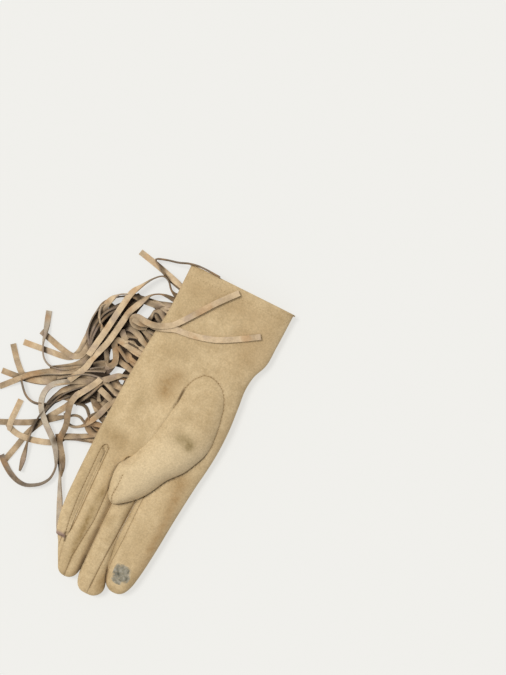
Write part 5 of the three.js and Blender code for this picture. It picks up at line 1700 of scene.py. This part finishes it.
# Where the strips lie bunched, the lower ones get no light: x, up, half width, half length, strength
BUNCHED = [
    (-80, 187, 4.4, 9.0, 0.85),
    (-85.5, 178, 2.0, 8.0, 0.5),
    (-65.5, 208, 4.2, 5.0, 0.9),
    (-55, 209.5, 9.0, 2.6, 0.5),
    (-46.5, 203.6, 4.0, 3.6, 0.85),
    (-64, 184, 2.6, 8.0, 0.95),
    (-48, 192.3, 5.0, 1.4, 0.8),
    (-58, 183.4, 5.0, 2.2, 0.5),
    (-57.5, 169.4, 4.5, 2.4, 0.9),
    (-71.5, 157, 2.4, 6.0, 0.95),
    (-67, 147, 9.0, 4.5, 0.9),
    (-57, 143.5, 4.0, 2.5, 0.6),
    (-63, 141.5, 3.0, 3.0, 0.7),
    (-62, 132, 3.0, 3.4, 0.9),
    (-68, 123.5, 4.0, 3.4, 0.7),
    (-47, 127, 1.6, 6.0, 0.9),
    (-51, 110, 5.0, 3.4, 0.7),
    (-80, 138, 8.0, 3.0, 0.35),
    (-79, 130, 5.0, 5.0, 0.35),
    (-88, 113, 3.4, 7.0, 0.8),
    (-92, 96, 2.6, 6.0, 0.7),
    (-72.6, 89.4, 3.6, 3.4, 0.8),
    (-48.6, 107, 2.6, 4.0, 0.55),
    (-50, 140, 4.0, 4.0, 0.4),
    (-98, 129, 10.0, 4.0, 0.1),
]


def bunch_shade(x, up, z):
    """The shade of the bunched places, for what lies low in them."""
    total = 0.0
    for bx, bup, wide, long, strength in BUNCHED:
        reach = ((x - bx) / wide) ** 2 + ((up - bup) / long) ** 2
        total += strength * math.exp(-(reach**1.5))
    return min(0.95, total) * ease(6.2, 4.6, z)


def shaded(number, x, up, z):
    """How much other strips lie over a place: the painted shade that they cast on it."""
    cover = {}
    for _, i, _ in above.find_range((x, up, 0), SHADE_REACH):
        other, ox, oup, oz, twist = middles[i]
        rise = oz - z
        if other == number or rise < SHADE_RISE:
            continue
        # The light comes from the left, so the painted shade of an upper strip falls to its right
        away = math.hypot(x - 0.5 * rise - ox, up - oup)
        reach = 1.2 + 3.4 * math.cos(math.radians(twist)) ** 2
        amount = ease(reach + 1.0, 0.8, away) * ease(SHADE_RISE, 1.5, rise)
        cover[other] = max(cover.get(other, 0.0), amount)
    return 1 - (1 - bunch_shade(x, up, z)) * math.exp(-1.25 * sum(cover.values()))


# Each strip's painted shade: what the strips over it cast, and at least the share that a tone below 0
# gives
for number, strip in enumerate(strips):
    least_shade = max(0.0, -tone_along(STRIPS[number][1], 0))
    paint(strip, "shade", lambda x, up, z: max(least_shade, shaded(number, x, up, z)))


def cut_suede(name, grey, light, roughness):
    """A strip's face, back or cut edge. The cloth takes its dye unevenly, so each strip has its own
    tone and warm and cool clouds, and the raw fibres leave it matt. Painted shade, where other strips
    lie over it, darkens it toward near black."""
    material, tree = new_material(name)
    place = add(tree, "TexCoord").outputs["Object"]
    tone, covered = [
        add(tree, "Attribute", {"attribute_name": mark}).outputs["Fac"]
        for mark in ("tone", "shade")
    ]
    brushed = add(tree, "TexNoise", {"Scale": 230.0, "Detail": 4.0, "Roughness": 0.6},
                  {"Vector": place})
    nap = add(tree, "TexNoise", {"Scale": 760.0, "Detail": 5.0, "Roughness": 0.7},
              {"Vector": place})
    spread = add(tree, "MapRange",
                 {"From Min": 0.3, "From Max": 0.7, "To Min": -0.2, "To Max": 0.2},
                 {"Value": brushed.outputs["Fac"]})
    shifted = add(tree, "Math", {"operation": "ADD", "use_clamp": True},
                  {0: tone, 1: spread.outputs[0]})
    colour = add(tree, "Mix", {"data_type": "RGBA", 6: linear(grey), 7: linear(light)},
                 {0: shifted.outputs[0]})
    clouds = add(tree, "TexNoise", {"Scale": 85.0, "Detail": 2.0, "Roughness": 0.5},
                 {"Vector": place})
    for start, end, tint in ((0.53, 0.7, "#b58a5c"), (0.47, 0.3, "#a08c80")):
        amount = add(tree, "MapRange",
                     {"From Min": start, "From Max": end, "To Min": 0.0, "To Max": 0.5},
                     {"Value": clouds.outputs["Fac"]})
        colour = add(tree, "Mix", {"data_type": "RGBA", 7: linear(tint)},
                     {0: amount.outputs[0], 6: colour.outputs[2]})
    grain = add(tree, "MapRange",
                {"From Min": 0.3, "From Max": 0.7, "To Min": 0.86, "To Max": 1.12},
                {"Value": nap.outputs["Fac"]})
    grained = add(tree, "VectorMath", {"operation": "SCALE"},
                  {0: colour.outputs[2], 3: grain.outputs[0]})
    # Painted shade darkens it toward near black
    shade = add(tree, "Math", {"operation": "MULTIPLY", 1: 0.97}, {0: covered})
    darkened = add(tree, "Mix", {"data_type": "RGBA", 7: linear("#20150e")},
                   {0: shade.outputs[0], 6: grained.outputs[0]})
    bump = add(tree, "Bump", {"Strength": 0.4, "Distance": 0.0004},
               {"Height": nap.outputs["Fac"]})
    shader = add(tree, "BsdfPrincipled", {
        "Roughness": roughness, "Specular IOR Level": 0.18, "Sheen Weight": 0.15,
        "Sheen Roughness": 0.5, "Sheen Tint": linear("#f3e2c2"),
    }, {"Base Color": darkened.outputs[2], "Normal": bump.outputs[0]})
    add(tree, "OutputMaterial", {}, {"Surface": shader.outputs[0]})
    return material


fringe = merge("fringe_strips", strips, 0.0001)
# The cut edge is darker than the face: partly its raw fibres, partly painted shade along the strips'
# sides
for material in (
    cut_suede("strip_suede_face", "#7f6a52", "#d4bb98", 0.92),
    cut_suede("strip_suede_reverse", "#7a6c5e", "#c3b5a0", 0.95),
    cut_suede("strip_suede_cut_edge_with_shade", "#77695a", "#a3937e", 0.95),
):
    fringe.data.materials.append(material)
thicken(fringe, STRIP_WALL, offset=0, material_offset=1, material_offset_rim=2, use_rim=True)
smooth(fringe, math.radians(38))
dress(fringe, "fringe", [])

# Stitches
# One row of short machine stitches holds each seam on the palm side and the cuff's hem: brown thread
# drawn down into the suede, so that each stitch lies sunk in it.
STITCH = {"long": 1.5, "wide": 0.4, "high": 0.4, "pitch": 2.2}
WALK = 0.2      # each seam is walked in steps of this length
LEVEL = 0.8     # a stitch whose ends lie further apart in height than this is left out
OVER_ALL = 60   # height from which the surface is felt for
bpy.ops.mesh.primitive_uv_sphere_add(segments=8, ring_count=6, radius=0.5 * MM)
stitch = bpy.context.active_object
stitch.scale = (STITCH["long"], STITCH["wide"], STITCH["high"])
bpy.ops.object.transform_apply(scale=True)
hand = [palm, *[bpy.data.objects[f"{name}_suede"] for name in SIDE_NAMES]]
# The pieces sewn together, how deep their stitches sink, and the lines
SEWN = [
    (hand, 0.02, [
        side_lines["fourchette_little", 1][:36], side_lines["fourchette_little", 2][:35],
        side_lines["fourchette_ring", 1], side_lines["fourchette_middle", 1], *ARCHES]),
    (hand, 0.14, [side_lines["fourchette_middle", 2][:42]]),
    ([palm], 0.16, [[(-39.5, HEM_LINE), (40.0, HEM_LINE)]]),
    ([palm, thumb], 0.05, [THUMB_SEAM_LINE]),
    ([thumb], 0.0, [THUMB_TIP_SEAM]),
]
bpy.context.view_layer.update()


def surface(pieces, x, up):
    """Height of the highest of the pieces at a place, in millimetres."""
    best = 0.0
    for piece in pieces:
        start = Vector((x, up - MIDDLE, OVER_ALL)) * MM
        hit, where, _, _ = piece.ray_cast(start, Vector((0, 0, -1)))
        if hit:
            best = max(best, where.z / MM)
    return best


stitches = []
for pieces, sunk, line in [(pieces, sunk, line) for pieces, sunk, lines in SEWN for line in lines]:
    walked = dense_line(line, WALK)
    gone = STITCH["pitch"]
    for p, q in zip(walked, walked[1:]):
        gone += math.dist(p, q)
        if gone < STITCH["pitch"]:
            continue
        gone = 0.0
        way = Vector((q[0] - p[0], q[1] - p[1], 0)).normalized()
        ends = [Vector((*p, 0)) + way * side * 0.5 for side in (-1, 1)]
        heights = [surface(pieces, end.x, end.y) for end in ends]
        if abs(heights[0] - heights[1]) > LEVEL:
            continue
        slope = Vector((way.x, way.y, heights[1] - heights[0])).normalized()
        turned = slope.to_track_quat("X", "Z").to_matrix().to_4x4()
        middle = Vector((p[0], p[1] - MIDDLE, sum(heights) / 2 - sunk)) * MM
        copy = stitch.copy()
        copy.data = stitch.data.copy()
        copy.data.transform(Matrix.Translation(middle) @ turned)
        bpy.context.collection.objects.link(copy)
        stitches.append(copy)
bpy.data.objects.remove(stitch)
thread = merge("seam_stitches", stitches, 0.0001)
smooth(thread)
# Spun polyester, dyed a shade darker than the suede, has a slight gloss
brown_thread, tree = new_material("brown_sewing_thread")
shader = add(tree, "BsdfPrincipled",
             {"Base Color": linear("#86693f"), "Roughness": 0.7, "Specular IOR Level": 0.25})
add(tree, "OutputMaterial", {}, {"Surface": shader.outputs[0]})
thread.data.materials.append(brown_thread)
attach(thread, "root")

# Floor, light and camera
# A plain pale floor in soft studio light that falls from the left of the picture, and a camera that
# looks straight down with the glove turned on the floor as in the picture.
FLOOR_SIZE = 12.0
FLOOR_DROP = 0.0002   # keeps it clear of the back panel
bpy.ops.mesh.primitive_plane_add(size=FLOOR_SIZE, location=(0, 0, -FLOOR_DROP))
floor = bpy.context.active_object
floor.name = "floor"
# Matt painted board: it returns the light evenly, with a little of its own to stay pale in shade
plain, tree = new_material("matt_pale_floor")
shader = add(tree, "BsdfPrincipled",
             {"Base Color": linear("#858583"), "Roughness": 0.9, "Specular IOR Level": 0.1,
              "Emission Color": linear("#f4f3ef"), "Emission Strength": 0.69})
add(tree, "OutputMaterial", {}, {"Surface": shader.outputs[0]})
floor.data.materials.append(plain)

world = bpy.data.worlds.new("soft_studio")
bpy.context.scene.world = world
world.use_nodes = True
background = world.node_tree.nodes["Background"]
background.inputs["Color"].default_value = linear("#fbfbfb")
background.inputs["Strength"].default_value = 0.54

bpy.ops.object.light_add(type="SUN", location=(-1, 0, 1))
key = bpy.context.active_object
key.name = "key_light"
key.data.energy = 2.0
key.data.angle = math.radians(22)
key.data.color = linear("#fffefb")[:3]
key.rotation_euler = Vector((0.72, -0.1, -1.25)).to_track_quat("-Z", "Y").to_euler()

TURN = math.radians(26.5)
VIEW_FROM = (0.0226, 0.0964, 1.2)
bpy.ops.object.camera_add(location=VIEW_FROM, rotation=(0, 0, TURN))
camera = bpy.context.active_object
camera.data.sensor_width = 36
camera.data.lens = 87.4
camera.data.clip_start = 0.05
camera.data.clip_end = 20
bpy.context.scene.camera = camera
bpy.context.scene.view_settings.view_transform = "Standard"
